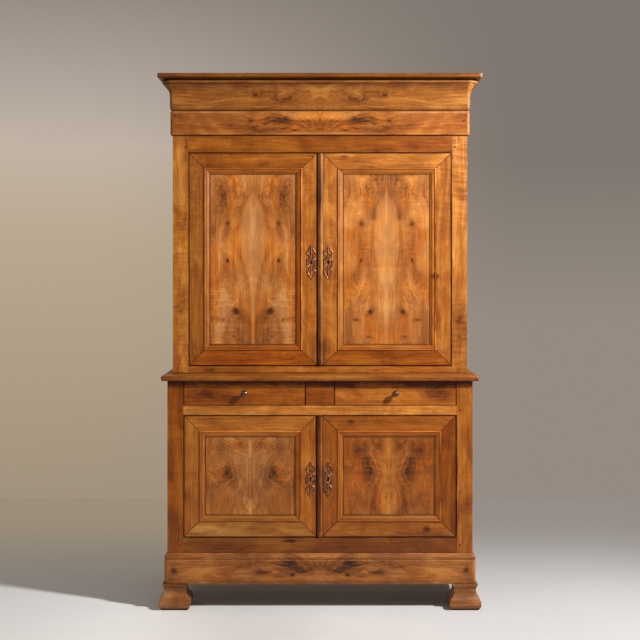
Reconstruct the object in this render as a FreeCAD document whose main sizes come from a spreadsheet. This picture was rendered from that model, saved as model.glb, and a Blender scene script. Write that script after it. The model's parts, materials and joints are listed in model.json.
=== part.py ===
"""A French two-part cupboard: a buffet with two drawers and two doors on an ogee-footed plinth, and a
set-back upper cabinet with two tall doors under a moulded cornice.

Millimetres, +Z up, the front faces -Y.  The origin is on the floor, under the middle of the whole piece.
Sums are written with the bare names of the sizes and levels below; sized() gives each its place in the
document, so that every object stays bound to the sheet.
"""
import FreeCAD, Part
import os
import re

import Sketcher

SIZES = {
    # Carcasses
    "lower_width": 1300,
    "lower_depth": 540,
    "hutch_side_step": 10,
    "hutch_front_step": 95,
    "post_width": 68,
    "post_depth": 45,
    "rail_thickness": 28,
    "side_recess": 2,
    "side_rail_thickness": 28,
    "side_rail_height": 90,
    "side_panel_sink": 8,
    "side_panel_thickness": 12,
    "groove_depth": 8,
    "back_thickness": 12,
    "back_rebate": 15,
    "deck_thickness": 18,
    "shelf_thickness": 20,
    "shelf_set_back": 30,
    "cleat_side": 25,
    # Heights of the buffet, from the floor up
    "foot_height": 107,
    "plinth_height": 129,
    "buffet_bottom_rail_height": 66,
    "lower_opening_height": 521,
    "drawer_rail_height": 42,
    "drawer_opening_height": 105,
    "top_thickness": 22,
    # Heights of the upper cabinet, from the buffet's top up
    "hutch_bottom_rail_height": 32,
    "upper_opening_height": 928,
    "hutch_top_rail_height": 77,
    "frieze_height": 101,
    "cornice_height": 136,
    "cap_thickness": 22,
    # Tenons and pegs
    "tenon_length": 35,
    "tenon_thickness": 10,
    "tenon_shoulder": 8,
    "peg_radius": 4,
    "peg_length": 36,
    "peg_inset": 14,
    "peg_rise": 24,
    "peg_clearance": 0.05,
    # Feet: half widths of the square block at its lip, neck, bulge and base
    "foot_lip_half": 53.5,
    "foot_lip_thickness": 6,
    "foot_lip_reach": 20,
    "foot_neck_half": 46,
    "foot_bulge_half": 66,
    "foot_base_half": 54,
    # Plinth, buffet top, frieze and cornice: how far each member stands out from the carcass
    "plinth_reach": 12,
    "plinth_quirk": 2,
    "plinth_slope_height": 24,
    "plinth_top_reach": 2,
    "top_overhang": 25,
    "top_nosing": 7,
    "frieze_reach": 10,
    "frieze_thickness": 30,
    "frieze_fillet": 5,
    "frieze_quirk": 1.5,
    "ogee_foot_reach": 5,
    "ogee_waist_reach": 12,
    "ogee_crown_reach": 34,
    "bead_reach": 46,
    "bead_height": 10,
    "cap_reach": 60,
    "cap_cove_reach": 10,
    "cap_cove_height": 6,
    "cap_corner_radius": 12,
    "cap_arris": 3,
    # Doors
    "door_gap": 3,
    "meeting_gap": 4,
    "upper_meeting_shift": 12,
    "lower_meeting_shift": 14,
    "door_thickness": 26,
    "door_recess": 2.5,
    "frame_width": 63,
    "moulding_width": 28,
    "moulding_proud": 3,
    "panel_sink": 11,
    "panel_thickness": 9,
    "bead_width": 22,
    "bead_proud": 8,
    # Pivots let into the door edges and the rails
    "pivot_inset": 11,
    "pivot_set_back": 6,
    "pivot_radius": 3,
    "pivot_clearance": 0.05,
    "pivot_depth": 8,
    "leaf_length": 52,
    "leaf_width": 16,
    "leaf_thickness": 2.5,
    "leaf_margin": 1,
    "leaf_end_margin": 3,
    # Escutcheons, keyholes and locks
    "escutcheon_height": 150,
    "escutcheon_width": 37,
    "escutcheon_thickness": 3,
    "escutcheon_inset": 24,
    "upper_escutcheon_rise": 451,
    "lower_escutcheon_rise": 248,
    "keyhole_width": 7,
    "keyhole_height": 20,
    "blind_keyhole_depth": 8,
    "lock_length": 70,
    "lock_height": 60,
    "lock_thickness": 14,
    "lock_margin": 2,
    "bolt_length": 56,
    "bolt_height": 14,
    "bolt_thickness": 7,
    "bolt_clearance": 0.4,
    # Drawers
    "divider_width": 122,
    "drawer_gap": 2,
    "drawer_top_gap": 2.5,
    "drawer_run_gap": 0.3,
    "drawer_back_gap": 55.5,
    "drawer_front_thickness": 22,
    "drawer_side_thickness": 12,
    "drawer_side_drop": 12,
    "drawer_bottom_thickness": 8,
    "drawer_bottom_rise": 8,
    "drawer_slot_depth": 5,
    "dovetail_length": 15,
    "dovetail_flare": 3,
    "runner_width": 28,
    "runner_thickness": 20,
    "guide_height": 22,
    "guide_gap": 1,
    # Knobs
    "knob_radius": 13.5,
    "knob_reach": 30,
    "knob_neck_radius": 6,
    "knob_collar_radius": 9,
    "knob_collar_height": 4,
    "knob_stem_radius": 4.5,
    # Overrun of cutting tools past the faces that they cut
    "overrun": 5,
}

# Levels and planes that several pieces share, each worked out from the sizes and the levels before it
LEVELS = {
    "upper_width": "lower_width - hutch_side_step * 2",
    "upper_depth": "lower_depth - hutch_front_step",
    "foot_reach": "foot_bulge_half - foot_lip_half + foot_lip_reach",
    "rear": "(lower_depth + foot_reach) / 2",
    "lower_front": "rear - lower_depth",
    "upper_front": "rear - upper_depth",
    "lower_half": "lower_width / 2",
    "upper_half": "upper_width / 2",
    "lower_inner": "lower_half - post_width",
    "upper_inner": "upper_half - post_width",
    "back_face": "rear - back_thickness",
    "plinth_top": "foot_height + plinth_height",
    "lower_sill": "plinth_top + buffet_bottom_rail_height",
    "lower_lintel": "lower_sill + lower_opening_height",
    "drawer_sill": "lower_lintel + drawer_rail_height",
    "buffet_head": "drawer_sill + drawer_opening_height",
    "hutch_base": "buffet_head + top_thickness",
    "upper_sill": "hutch_base + hutch_bottom_rail_height",
    "upper_lintel": "upper_sill + upper_opening_height",
    "hutch_head": "upper_lintel + hutch_top_rail_height",
    "cornice_base": "hutch_head + frieze_height",
    "cap_base": "cornice_base + cornice_height",
    "lower_door_face": "lower_front + door_recess",
    "upper_door_face": "upper_front + door_recess",
    "lower_meeting": "-lower_meeting_shift",
    "upper_meeting": "-upper_meeting_shift",
    "drawer_face": "lower_front + door_recess",
    "drawer_length": "lower_depth - door_recess - back_thickness - drawer_back_gap",
    "frieze_inset": "frieze_thickness - frieze_reach",
}

# Ogee foot: heights as shares of the foot's height below its lip, and half widths between the named ones
FOOT_BULGE_RISE_SHARE = 0.30
FOOT_BELLY_SHARES = (0.12, 0.80)
FOOT_SHOULDER_SHARES = (0.43, 0.82)
FOOT_SHOULDER_TOP_SHARES = (0.52, 0.40)
FOOT_COVE_SHARES = (0.63, 0.08)
FOOT_NECK_RISE_SHARE = 0.76
FOOT_FLARE_SHARES = (0.90, 0.14)
FOOT_FLARE_TOP_SHARE = 0.55

# Plinth slope: the middle of its swell, as shares of its reach and its height
PLINTH_SWELL_SHARES = (0.75, 0.60)

# Cornice: heights as shares of its height, and swells as shares of the reach that they span
OGEE_FOOT_SHARE = 0.03
OGEE_SWELL_DEGREES = 30
OGEE_LEAN_SHARE = 0.10
OGEE_WAIST_SHARE = 0.47
OGEE_SWEEP_SHARES = (0.66, 0.26)
OGEE_CROWN_SHARE = 0.83
BEAD_RISE_SHARE = 0.60

# Applied door moulding: points of its face, in shares of its width, and of what it stands proud or sinks
MOULDING_BEAD_SHARES = ((0.13, 1.00), (0.29, 0.30))
MOULDING_STEP_SHARES = (0.33, 0.20)
MOULDING_HOLLOW_SHARES = ((0.56, 0.22), (0.75, 0.58))
MOULDING_TOE_SHARES = ((0.84, 0.78), (0.94, 0.82))

# Escutcheon: one half of its outline as lobes, each the bulge and the end of an arc, in shares of the
# half width and half height; x first, from the bottom tip to the top tip
ESCUTCHEON_LOBE_SHARES = (
    ((0.30, -0.96), (0.40, -0.85)),
    ((0.70, -0.70), (0.93, -0.52)),
    ((0.92, -0.42), (0.68, -0.38)),
    ((0.46, -0.35), (0.54, -0.28)),
    ((1.00, 0.00), (0.54, 0.28)),
    ((0.46, 0.35), (0.68, 0.38)),
    ((0.92, 0.42), (0.90, 0.54)),
    ((0.60, 0.74), (0.22, 0.89)),
    ((0.17, 0.96), (0.00, 1.00)),
)
ESCUTCHEON_EYE_SHARES = (0.20, 0.44, 0.70)

# Knob: where its neck, its underside and its rim end, as shares of its reach, and how far up the dome the
# point that its arc goes through lies
KNOB_NECK_SHARE = 0.40
KNOB_UNDERSIDE_SHARE = 0.60
KNOB_RIM_SHARE = 0.68
KNOB_DOME_SHARE = 0.70

DOVETAIL_COUNT = 3
DOVETAIL_SHARE = 0.5
BACK_PLANKS = 5
UPPER_SHELVES = 3
LOWER_SHELVES = 1

doc = FreeCAD.newDocument("Cupboard")
sheet = doc.addObject("Spreadsheet::Sheet", "Dims")
levels = doc.addObject("App::VarSet", "Level")
HOLDER = {**dict.fromkeys(SIZES, "Dims."), **dict.fromkeys(LEVELS, "Level.")}
nodes = {}


def sized(text):
    """A sum of named sizes and levels, as the document's own expression."""
    return re.sub(r"[a-z][a-z_]+", lambda name: HOLDER.get(name[0], "") + name[0], str(text))


def value(text):
    """What such a sum comes to now."""
    return float(sheet.evalExpression(sized(text)))


def bind(piece, setting, text):
    piece.setExpression(setting, sized(text))


def place(piece, x="0", y="0", z="0"):
    for axis, text in zip("xyz", (x, y, z)):
        bind(piece, f"Placement.Base.{axis}", text)
    return piece


def board(name, x, y, z):
    """A plain board between two planes on each axis."""
    piece = doc.addObject("Part::Box", name)
    for side, (low, high) in zip(("Length", "Width", "Height"), (x, y, z)):
        bind(piece, side, f"({high}) - ({low})")
    return place(piece, x[0], y[0], z[0])


def rod(name, radius, length, x, y, z, axis="z"):
    """A round bar that starts at a point and runs up, or to the back."""
    piece = doc.addObject("Part::Cylinder", name)
    bind(piece, "Radius", radius)
    bind(piece, "Height", length)
    if axis == "y":
        piece.Placement.Rotation = FreeCAD.Rotation(FreeCAD.Vector(1, 0, 0), -90)
    return place(piece, x, y, z)


def fuse(name, *pieces):
    joined = doc.addObject("Part::MultiFuse", name)
    joined.Shapes = pieces
    return joined


def cut(name, piece, *tools):
    left = doc.addObject("Part::Cut", name)
    left.Base = piece
    left.Tool = tools[0] if len(tools) == 1 else fuse(name + "Tools", *tools)
    return left


def common(name, piece, tool):
    shared = doc.addObject("Part::MultiCommon", name)
    shared.Shapes = [piece, tool]
    return shared


def mirrored(name, piece):
    """The piece's twin on the other side of the middle plane."""
    twin = doc.addObject("Part::Mirroring", name)
    twin.Source = piece
    twin.Normal = FreeCAD.Vector(1, 0, 0)
    return twin


def both_sides(name, piece):
    return [piece, mirrored(name + "Twin", piece)]


def node(label, pieces):
    """Hands over a sub-part: one solid, or a group of separate ones."""
    if len(pieces) == 1:
        whole = pieces[0]
    else:
        whole = doc.addObject("Part::Compound", label.title().replace("_", ""))
        whole.Links = pieces
    whole.Label = label
    nodes[label] = whole
    return whole


def dimension(sketch, kind, shape, end, text):
    spot = sketch.addConstraint(Sketcher.Constraint(kind, shape, end, value(text)))
    sketch.setExpression(f"Constraints[{spot}]", sized(text))


def outline(sketch, start, *steps):
    """A closed outline.  A step is a point, for a line to it, or a pair of points, for an arc through the
    first to the second.  Every point is dimensioned from the sketch's origin."""
    edges = []
    here = start
    for step in steps:
        through, there = step if isinstance(step[0], tuple) else (None, step)
        first, last = (FreeCAD.Vector(value(x), value(y), 0) for x, y in (here, there))
        if through is None:
            edges.append((sketch.addGeometry(Part.LineSegment(first, last)), 1, 2))
        else:
            middle = FreeCAD.Vector(value(through[0]), value(through[1]), 0)
            arc = sketch.addGeometry(Part.Arc(first, middle, last))
            forward = (sketch.getPoint(arc, 1) - first).Length < (sketch.getPoint(arc, 2) - first).Length
            edges.append((arc, 1, 2) if forward else (arc, 2, 1))
            spot = sketch.addGeometry(Part.Point(middle), True)
            sketch.addConstraint(Sketcher.Constraint("PointOnObject", spot, 1, arc))
            dimension(sketch, "DistanceX", spot, 1, through[0])
            dimension(sketch, "DistanceY", spot, 1, through[1])
        here = there
    for count, (edge, _, tip) in enumerate(edges):
        follower, root, _ = edges[(count + 1) % len(edges)]
        sketch.addConstraint(Sketcher.Constraint("Coincident", edge, tip, follower, root))
        there = steps[count][1] if isinstance(steps[count][0], tuple) else steps[count]
        dimension(sketch, "DistanceX", edge, tip, there[0])
        dimension(sketch, "DistanceY", edge, tip, there[1])


def sketch_in(body, name, plane, *points):
    sketch = body.newObject("Sketcher::SketchObject", name)
    support = next(part for part in body.Origin.OriginFeatures if part.Role == plane + "_Plane")
    sketch.AttachmentSupport = (support, "")
    sketch.MapMode = "FlatFace"
    outline(sketch, *points)
    return sketch


def prism(name, plane, length, points, x="0", y="0", z="0"):
    """An outline drawn in an upright or level plane and padded along +X, +Y or +Z."""
    body = doc.addObject("PartDesign::Body", name)
    pad = body.newObject("PartDesign::Pad", name + "Pad")
    pad.Profile = sketch_in(body, name + "Outline", plane, *points)
    pad.Reversed = plane == "XZ"
    bind(pad, "Length", length)
    body.Tip = pad
    return place(body, x, y, z)


def axis_of(body, role):
    return next(part for part in body.Origin.OriginFeatures if part.Role == role + "_Axis")


def turned(name, points, angle=360):
    """An outline of radii and heights, turned about the upright axis."""
    body = doc.addObject("PartDesign::Body", name)
    spin = body.newObject("PartDesign::Revolution", name + "Turning")
    spin.Profile = sketch_in(body, name + "Outline", "XZ", *points)
    spin.ReferenceAxis = (axis_of(body, "Z"), "")
    spin.Angle = angle
    body.Tip = spin
    return body


def returned_moulding(name, run, section, x, y, z):
    """A side moulding that runs back from the carcass corner, with its profile carried round the corner
    in a quarter turn."""
    body = doc.addObject("PartDesign::Body", name)
    pad = body.newObject("PartDesign::Pad", name + "Run")
    pad.Profile = sketch_in(body, name + "Section", "XZ", *section)
    pad.Reversed = True
    bind(pad, "Length", run)
    doc.recompute()
    spin = body.newObject("PartDesign::Revolution", name + "Corner")
    spin.Profile = sketch_in(body, name + "CornerSection", "XZ", *section)
    spin.ReferenceAxis = (axis_of(body, "Z"), "")
    spin.Angle = 90
    spin.Reversed = True
    body.Tip = spin
    return place(body, x, y, z)


def edges_where(shape, test):
    return [f"Edge{number}" for number, edge in enumerate(shape.Edges, 1) if test(edge.BoundBox)]


def fill_sheet():
    for row, (name, size) in enumerate(SIZES.items(), 1):
        sheet.set(f"A{row}", name)
        sheet.set(f"B{row}", str(size))
        sheet.setAlias(f"B{row}", name)
    doc.recompute()
    for name, text in LEVELS.items():
        levels.addProperty("App::PropertyFloat", name, "Levels")
        bind(levels, name, text)
        doc.recompute()


def front_feet():
    """Square ogee block feet, the same profile on every face: two crossed prisms, and what they share."""
    below = "(foot_height - foot_lip_thickness)"
    swell = "(foot_bulge_half - foot_neck_half)"
    belly_rise, belly_share = FOOT_BELLY_SHARES
    belly = f"foot_base_half + (foot_bulge_half - foot_base_half) * {belly_share}"
    shoulder_rise, shoulder_share = FOOT_SHOULDER_SHARES
    top_rise, top_share = FOOT_SHOULDER_TOP_SHARES
    cove_rise, cove_share = FOOT_COVE_SHARES
    flare_rise, flare_share = FOOT_FLARE_SHARES
    lip = "(foot_lip_half - foot_neck_half)"
    right = [
        ("foot_base_half", "0"),
        (
            (belly, f"{below} * {belly_rise}"),
            ("foot_bulge_half", f"{below} * {FOOT_BULGE_RISE_SHARE}"),
        ),
        (
            (f"foot_neck_half + {swell} * {shoulder_share}", f"{below} * {shoulder_rise}"),
            (f"foot_neck_half + {swell} * {top_share}", f"{below} * {top_rise}"),
        ),
        (
            (f"foot_neck_half + {swell} * {cove_share}", f"{below} * {cove_rise}"),
            ("foot_neck_half", f"{below} * {FOOT_NECK_RISE_SHARE}"),
        ),
        (
            (f"foot_neck_half + {lip} * {flare_share}", f"{below} * {flare_rise}"),
            (f"foot_neck_half + {lip} * {FOOT_FLARE_TOP_SHARE}", below),
        ),
        ("foot_lip_half", below),
        ("foot_lip_half", "foot_height"),
    ]
    points = right + mirror_path(right)
    span = "foot_bulge_half * 2"
    across = prism("FootAcross", "XZ", span, points, y="-foot_bulge_half")
    along = prism("FootAlong", "YZ", span, points, x="-foot_bulge_half")
    block = common("FootBlock", across, along)
    inset = "foot_lip_half - foot_lip_reach"
    place(block, f"lower_half - ({inset})", f"lower_front + {inset}")
    node("front_feet", both_sides("FootBlock", block))


def mirror_path(path):
    """The way back along a path on the other side of the upright axis, arcs included."""
    ends = [step[1] if isinstance(step[0], tuple) else step for step in path]
    back = [(f"-({ends[-1][0]})", ends[-1][1])]
    for count in range(len(path) - 1, 0, -1):
        x, y = ends[count - 1]
        flipped = (f"-({x})", y)
        if isinstance(path[count][0], tuple):
            through_x, through_y = path[count][0]
            back.append(((f"-({through_x})", through_y), flipped))
        else:
            back.append(flipped)
    return back + [path[0]] if ends[0][0] != "0" else back


def plinth():
    """A moulded front board between two side boards that carry the profile round the front corners."""
    slope = "plinth_height - plinth_slope_height"
    swell_share, rise_share = PLINTH_SWELL_SHARES
    section = [
        ("0", "0"),
        ("plinth_reach", "0"),
        ("plinth_reach", f"{slope} - plinth_quirk * 2"),
        ("plinth_reach - plinth_quirk", f"{slope} - plinth_quirk"),
        ("plinth_reach", slope),
        (
            (
                f"plinth_top_reach + (plinth_reach - plinth_top_reach) * {swell_share}",
                f"{slope} + plinth_slope_height * {rise_share}",
            ),
            ("plinth_top_reach", "plinth_height - plinth_quirk"),
        ),
        ("plinth_top_reach", "plinth_height"),
        ("0", "plinth_height"),
        ("0", "0"),
    ]
    front = prism(
        "PlinthFront", "YZ", "lower_width", face_out(section), "-lower_half", "lower_front", "foot_height"
    )
    side = returned_moulding(
        "PlinthSide", "lower_depth", section, "lower_half", "lower_front", "foot_height"
    )
    node("plinth_boards", [front] + both_sides("PlinthSide", side))


def face_out(section):
    """A section drawn to +X, turned to face -Y in the upright plane that looks along X."""

    def flip(point):
        return (f"-({point[0]})", point[1])

    return [tuple(map(flip, step)) if isinstance(step[0], tuple) else flip(step) for step in section]


def side_frame(prefix, half, front, foot, sill, head, shelf_levels):
    """One side of a carcass: side rails between the posts and a panel grooved into them."""
    rail_x = (f"{half} - side_recess - side_rail_thickness", f"{half} - side_recess")
    rail_y = (f"{front} + post_depth", "rear - post_depth")
    bottom_top = f"{sill} + side_rail_height - deck_thickness"
    top_bottom = f"{head} - side_rail_height"
    low = board(prefix + "SideRailLow", rail_x, rail_y, (foot, bottom_top))
    high = board(prefix + "SideRailHigh", rail_x, rail_y, (top_bottom, head))
    panel_out = f"{half} - side_recess - side_panel_sink"
    panel = board(
        prefix + "SidePanel",
        (f"{panel_out} - side_panel_thickness", panel_out),
        (f"{rail_y[0]} - groove_depth", f"{rail_y[1]} + groove_depth"),
        (f"{bottom_top} - groove_depth", f"{top_bottom} + groove_depth"),
    )
    rails = [cut(rail.Name + "Grooved", rail, panel) for rail in (low, high)]
    panel_in = f"{panel_out} - side_panel_thickness"
    cleats = [
        board(
            f"{prefix}Cleat{count}",
            (f"{panel_in} - cleat_side", panel_in),
            rail_y,
            (f"{level} - cleat_side", level),
        )
        for count, level in enumerate(shelf_levels, 1)
    ]
    return rails, panel, panel_in, cleats


def front_rail(name, inner, front, low, high):
    """A front rail with a stub tenon at each end."""
    middle = f"{front} + rail_thickness / 2"
    rail = board(name + "Rail", (f"-{inner}", inner), (front, f"{front} + rail_thickness"), (low, high))
    tenon = board(
        name + "Tenon",
        (f"-{inner} - tenon_length", f"{inner} + tenon_length"),
        (f"{middle} - tenon_thickness / 2", f"{middle} + tenon_thickness / 2"),
        (f"{low} + tenon_shoulder", f"{high} - tenon_shoulder"),
    )
    return fuse(name, rail, tenon)


def pegs_for(name, inner, front, level):
    """A peg through the post and the tenon at each end of a rail, with the tool for its hole."""
    spot = (f"{inner} + peg_inset", front, level)
    peg = rod(name + "Peg", "peg_radius", "peg_length", *spot, axis="y")
    hole = rod(name + "PegHole", "peg_radius + peg_clearance", "peg_length", *spot, axis="y")
    return both_sides(name + "Peg", peg), both_sides(name + "PegHole", hole)


def back_planks(prefix, inner, low, high):
    """Upright planks side by side, let into the rear posts at the two ends."""
    edge = f"({inner} + back_rebate)"
    width = f"({edge} * 2 / {BACK_PLANKS})"
    return [
        board(
            f"{prefix}Plank{count}",
            (f"{width} * {count} - {edge}", f"{width} * {count + 1} - {edge}"),
            ("back_face", "rear"),
            (low, high),
        )
        for count in range(BACK_PLANKS)
    ]


def shelves_for(prefix, door_face, panel_in, shelf_levels, posts):
    front = f"{door_face} + door_thickness + shelf_set_back"
    return [
        cut(
            f"{prefix}Shelf{count}Notched",
            board(
                f"{prefix}Shelf{count}",
                (f"-({panel_in})", panel_in),
                (front, "back_face"),
                (level, f"{level} + shelf_thickness"),
            ),
            *posts,
        )
        for count, level in enumerate(shelf_levels, 1)
    ]


def deck(name, half, front, level, posts):
    """A board that closes a carcass below or above, notched round the four posts."""
    edge = f"({half} - side_recess - side_rail_thickness)"
    plain = board(
        name + "Board",
        (f"-{edge}", edge),
        (f"{front} + rail_thickness", "back_face"),
        (level, f"{level} + deck_thickness"),
    )
    return cut(name, plain, *posts)


def carcass(prefix, label, half, inner, front, foot, rear_foot, sill, head, rails, pegged, shelves):
    """Posts, rails, side panels, back and shelves of one of the two carcasses."""
    opening = f"({shelves[1]} - {shelves[0]})"
    count = shelves[2]
    shelf_levels = [
        f"({shelves[0]} + {opening} * {number} / {count + 1} - shelf_thickness / 2)"
        for number in range(1, count + 1)
    ]
    side_rails, panel, panel_in, cleats = side_frame(prefix, half, front, foot, sill, head, shelf_levels)
    planks = back_planks(prefix, inner, rear_foot[1], head)
    pegs, holes = [], []
    for number, level in enumerate(pegged, 1):
        pair, bores = pegs_for(f"{prefix}{number}", inner, front, level)
        pegs += pair
        holes += bores
    rail_pieces = []
    for number, (low, high) in enumerate(rails, 1):
        rail = front_rail(f"{prefix}Rail{number}", inner, front, low, high)
        rail_pieces.append(cut(rail.Name + "Bored", rail, *holes))
    post_x = (inner, half)
    front_post = board(prefix + "FrontPostBlank", post_x, (front, f"{front} + post_depth"), (foot, head))
    rear_post = board(prefix + "RearPostBlank", post_x, ("rear - post_depth", "rear"), (rear_foot[0], head))
    front_tools = [panel] + rail_pieces + holes[::2]
    right_front = cut(prefix + "FrontPost", front_post, *front_tools)
    right_rear = cut(prefix + "RearPost", rear_post, panel, planks[-1])
    front_posts = both_sides(prefix + "FrontPost", right_front)
    rear_posts = both_sides(prefix + "RearPost", right_rear)
    posts = both_sides(front_post.Name, front_post) + both_sides(rear_post.Name, rear_post)
    node(label + "_front_posts", front_posts)
    node(label + "_rear_posts", rear_posts)
    node(label + "_side_rails", [twin for rail in side_rails for twin in both_sides(rail.Name, rail)])
    node(label + "_side_panels", both_sides(prefix + "SidePanel", panel))
    node(label + "_back", planks)
    door_face = "lower_door_face" if label == "buffet" else "upper_door_face"
    boards = shelves_for(prefix, door_face, panel_in, shelf_levels, posts)
    node(label + ("_shelf" if count == 1 else "_shelves"), boards)
    all_cleats = [twin for cleat in cleats for twin in both_sides(cleat.Name, cleat)]
    return rail_pieces, posts, pegs, all_cleats


def nosed_top():
    """The buffet's top: a board that overhangs the front and sides, with rounded edges."""
    body = doc.addObject("PartDesign::Body", "BuffetTop")
    pad = body.newObject("PartDesign::Pad", "BuffetTopPad")
    edge = "lower_half + top_overhang"
    pad.Profile = sketch_in(
        body,
        "BuffetTopOutline",
        "XY",
        (f"-({edge})", "lower_front - top_overhang"),
        (edge, "lower_front - top_overhang"),
        (edge, "rear"),
        (f"-({edge})", "rear"),
        (f"-({edge})", "lower_front - top_overhang"),
    )
    bind(pad, "Length", "top_thickness")
    doc.recompute()
    nosing = body.newObject("PartDesign::Fillet", "BuffetTopNosing")
    nosing.Base = (pad, edges_where(pad.Shape, lambda box: box.YMin < 0))
    bind(nosing, "Radius", "top_nosing")
    body.Tip = nosing
    node("buffet_top", [place(body, z="buffet_head")])


def cornice_cap():
    """The board that closes the cornice: rounded front corners, a coved underside and soft top arris."""
    body = doc.addObject("PartDesign::Body", "CorniceCap")
    pad = body.newObject("PartDesign::Pad", "CapPad")
    edge = "upper_half + cap_reach"
    front = "upper_front - cap_reach"
    pad.Profile = sketch_in(
        body,
        "CapOutline",
        "XY",
        (f"-({edge})", front),
        (edge, front),
        (edge, "rear"),
        (f"-({edge})", "rear"),
        (f"-({edge})", front),
    )
    bind(pad, "Length", "cap_thickness")
    doc.recompute()
    corners = body.newObject("PartDesign::Fillet", "CapCorners")
    corners.Base = (
        pad,
        edges_where(pad.Shape, lambda box: box.ZLength > box.XLength + box.YLength and box.YMax < 0),
    )
    bind(corners, "Radius", "cap_corner_radius")
    doc.recompute()
    half = value("cap_thickness") / 2
    cove = body.newObject("PartDesign::Chamfer", "CapCove")
    cove.Base = (corners, edges_where(corners.Shape, lambda box: box.ZMax < half and box.YMin < 0))
    cove.ChamferType = "Two distances"
    bind(cove, "Size", "cap_cove_height")
    bind(cove, "Size2", "cap_cove_reach")
    doc.recompute()
    arris = body.newObject("PartDesign::Fillet", "CapArris")
    arris.Base = (cove, edges_where(cove.Shape, lambda box: box.ZMin > half and box.YMin < 0))
    bind(arris, "Radius", "cap_arris")
    body.Tip = arris
    node("cornice_cap", [place(body, z="cap_base")])


def frieze():
    """Flat frieze boards with a narrow fillet struck along both edges."""
    face = "frieze_reach"
    sunk = "frieze_reach - frieze_quirk"

    def section(inside):
        return [
            (inside, "0"),
            (face, "0"),
            (face, "frieze_fillet - frieze_quirk"),
            (sunk, "frieze_fillet"),
            (face, "frieze_fillet + frieze_quirk"),
            (face, "frieze_height - frieze_fillet - frieze_quirk"),
            (sunk, "frieze_height - frieze_fillet"),
            (face, "frieze_height - frieze_fillet + frieze_quirk"),
            (face, "frieze_height"),
            (inside, "frieze_height"),
            (inside, "0"),
        ]

    crown_boards("Frieze", "frieze_boards", section, "hutch_head", "frieze_height")


def crown_boards(prefix, label, section, level, height):
    """A front, two returned sides and a plain rear board round the top of the upper cabinet.  What lies
    inside the carcass line is the front board's own thickness, and a lining behind each side."""
    front = prism(
        prefix + "Front", "YZ", "upper_width", face_out(section("-frieze_inset")), "-upper_half",
        "upper_front", level,
    )
    face = returned_moulding(
        prefix + "SideFace", "upper_depth", section("0"), "upper_half", "upper_front", level
    )
    upright = (level, f"{level} + {height}")
    rear_edge = "upper_half - frieze_inset"
    lining = board(
        prefix + "SideLining", (rear_edge, "upper_half"), ("upper_front + frieze_inset", "rear"), upright
    )
    side = fuse(prefix + "Side", face, lining)
    side.Refine = True
    back = board(prefix + "Rear", (f"-({rear_edge})", rear_edge), ("back_face", "rear"), upright)
    node(label, [front] + both_sides(prefix + "Side", side) + [back])


def cornice():
    """The big ogee: a short swell, a nearly upright face, a hollow sweep and a bead under the cap.  The
    swell's centre lies on the carcass line, so that round the corner it is part of a ball."""
    tall = "cornice_height"
    sweep_rise, sweep_share = OGEE_SWEEP_SHARES
    waist = "ogee_waist_reach"
    crown = "ogee_crown_reach"
    foot = f"{tall} * {OGEE_FOOT_SHARE}"
    swell_top = f"({foot} + sqrt({waist} ^ 2 - ogee_foot_reach ^ 2))"
    swell = (
        f"{waist} * cos({OGEE_SWELL_DEGREES})",
        f"{swell_top} - {waist} * sin({OGEE_SWELL_DEGREES})",
    )
    bead_low = f"{tall} * {OGEE_CROWN_SHARE} + bead_height * {BEAD_RISE_SHARE}"
    bead_high = f"{bead_low} + bead_height"
    shoulder = "bead_reach - bead_height"

    def section(inside):
        return [
            (inside, "0"),
            ("ogee_foot_reach", "0"),
            ("ogee_foot_reach", foot),
            (swell, (waist, swell_top)),
            (f"{waist} * (1 + {OGEE_LEAN_SHARE})", f"{tall} * {OGEE_WAIST_SHARE}"),
            (
                (f"{waist} + ({crown} - {waist}) * {sweep_share}", f"{tall} * {sweep_rise}"),
                (crown, f"{tall} * {OGEE_CROWN_SHARE}"),
            ),
            (shoulder, f"{tall} * {OGEE_CROWN_SHARE}"),
            (shoulder, bead_low),
            (("bead_reach", f"{bead_low} + bead_height / 2"), (shoulder, bead_high)),
            (shoulder, tall),
            (inside, tall),
            (inside, "0"),
        ]

    crown_boards("Cornice", "cornice_mouldings", section, "cornice_base", "cornice_height")


def grown(rect, by):
    """A rectangle of four sums, moved out by a size on every side."""
    low_x, high_x, low_z, high_z = rect
    return (f"{low_x} - ({by})", f"{high_x} + ({by})", f"{low_z} - ({by})", f"{high_z} + ({by})")


def mitred_members(name, rect, width, y, depth):
    """The four lengths of a frame, each cut to 45 degrees where it meets the next."""
    low_x, high_x, low_z, high_z = rect
    in_low_x, in_high_x, in_low_z, in_high_z = grown(rect, f"-({width})")
    outer = [(low_x, low_z), (low_x, high_z), (high_x, high_z), (high_x, low_z)]
    inner = [(in_low_x, in_low_z), (in_low_x, in_high_z), (in_high_x, in_high_z), (in_high_x, in_low_z)]
    members = []
    for count, side in enumerate(("Left", "Top", "Right", "Bottom")):
        after = (count + 1) % 4
        corners = [outer[count], outer[after], inner[after], inner[count], outer[count]]
        members.append(prism(name + side, "XZ", depth, corners, y=y))
    return members


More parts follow.
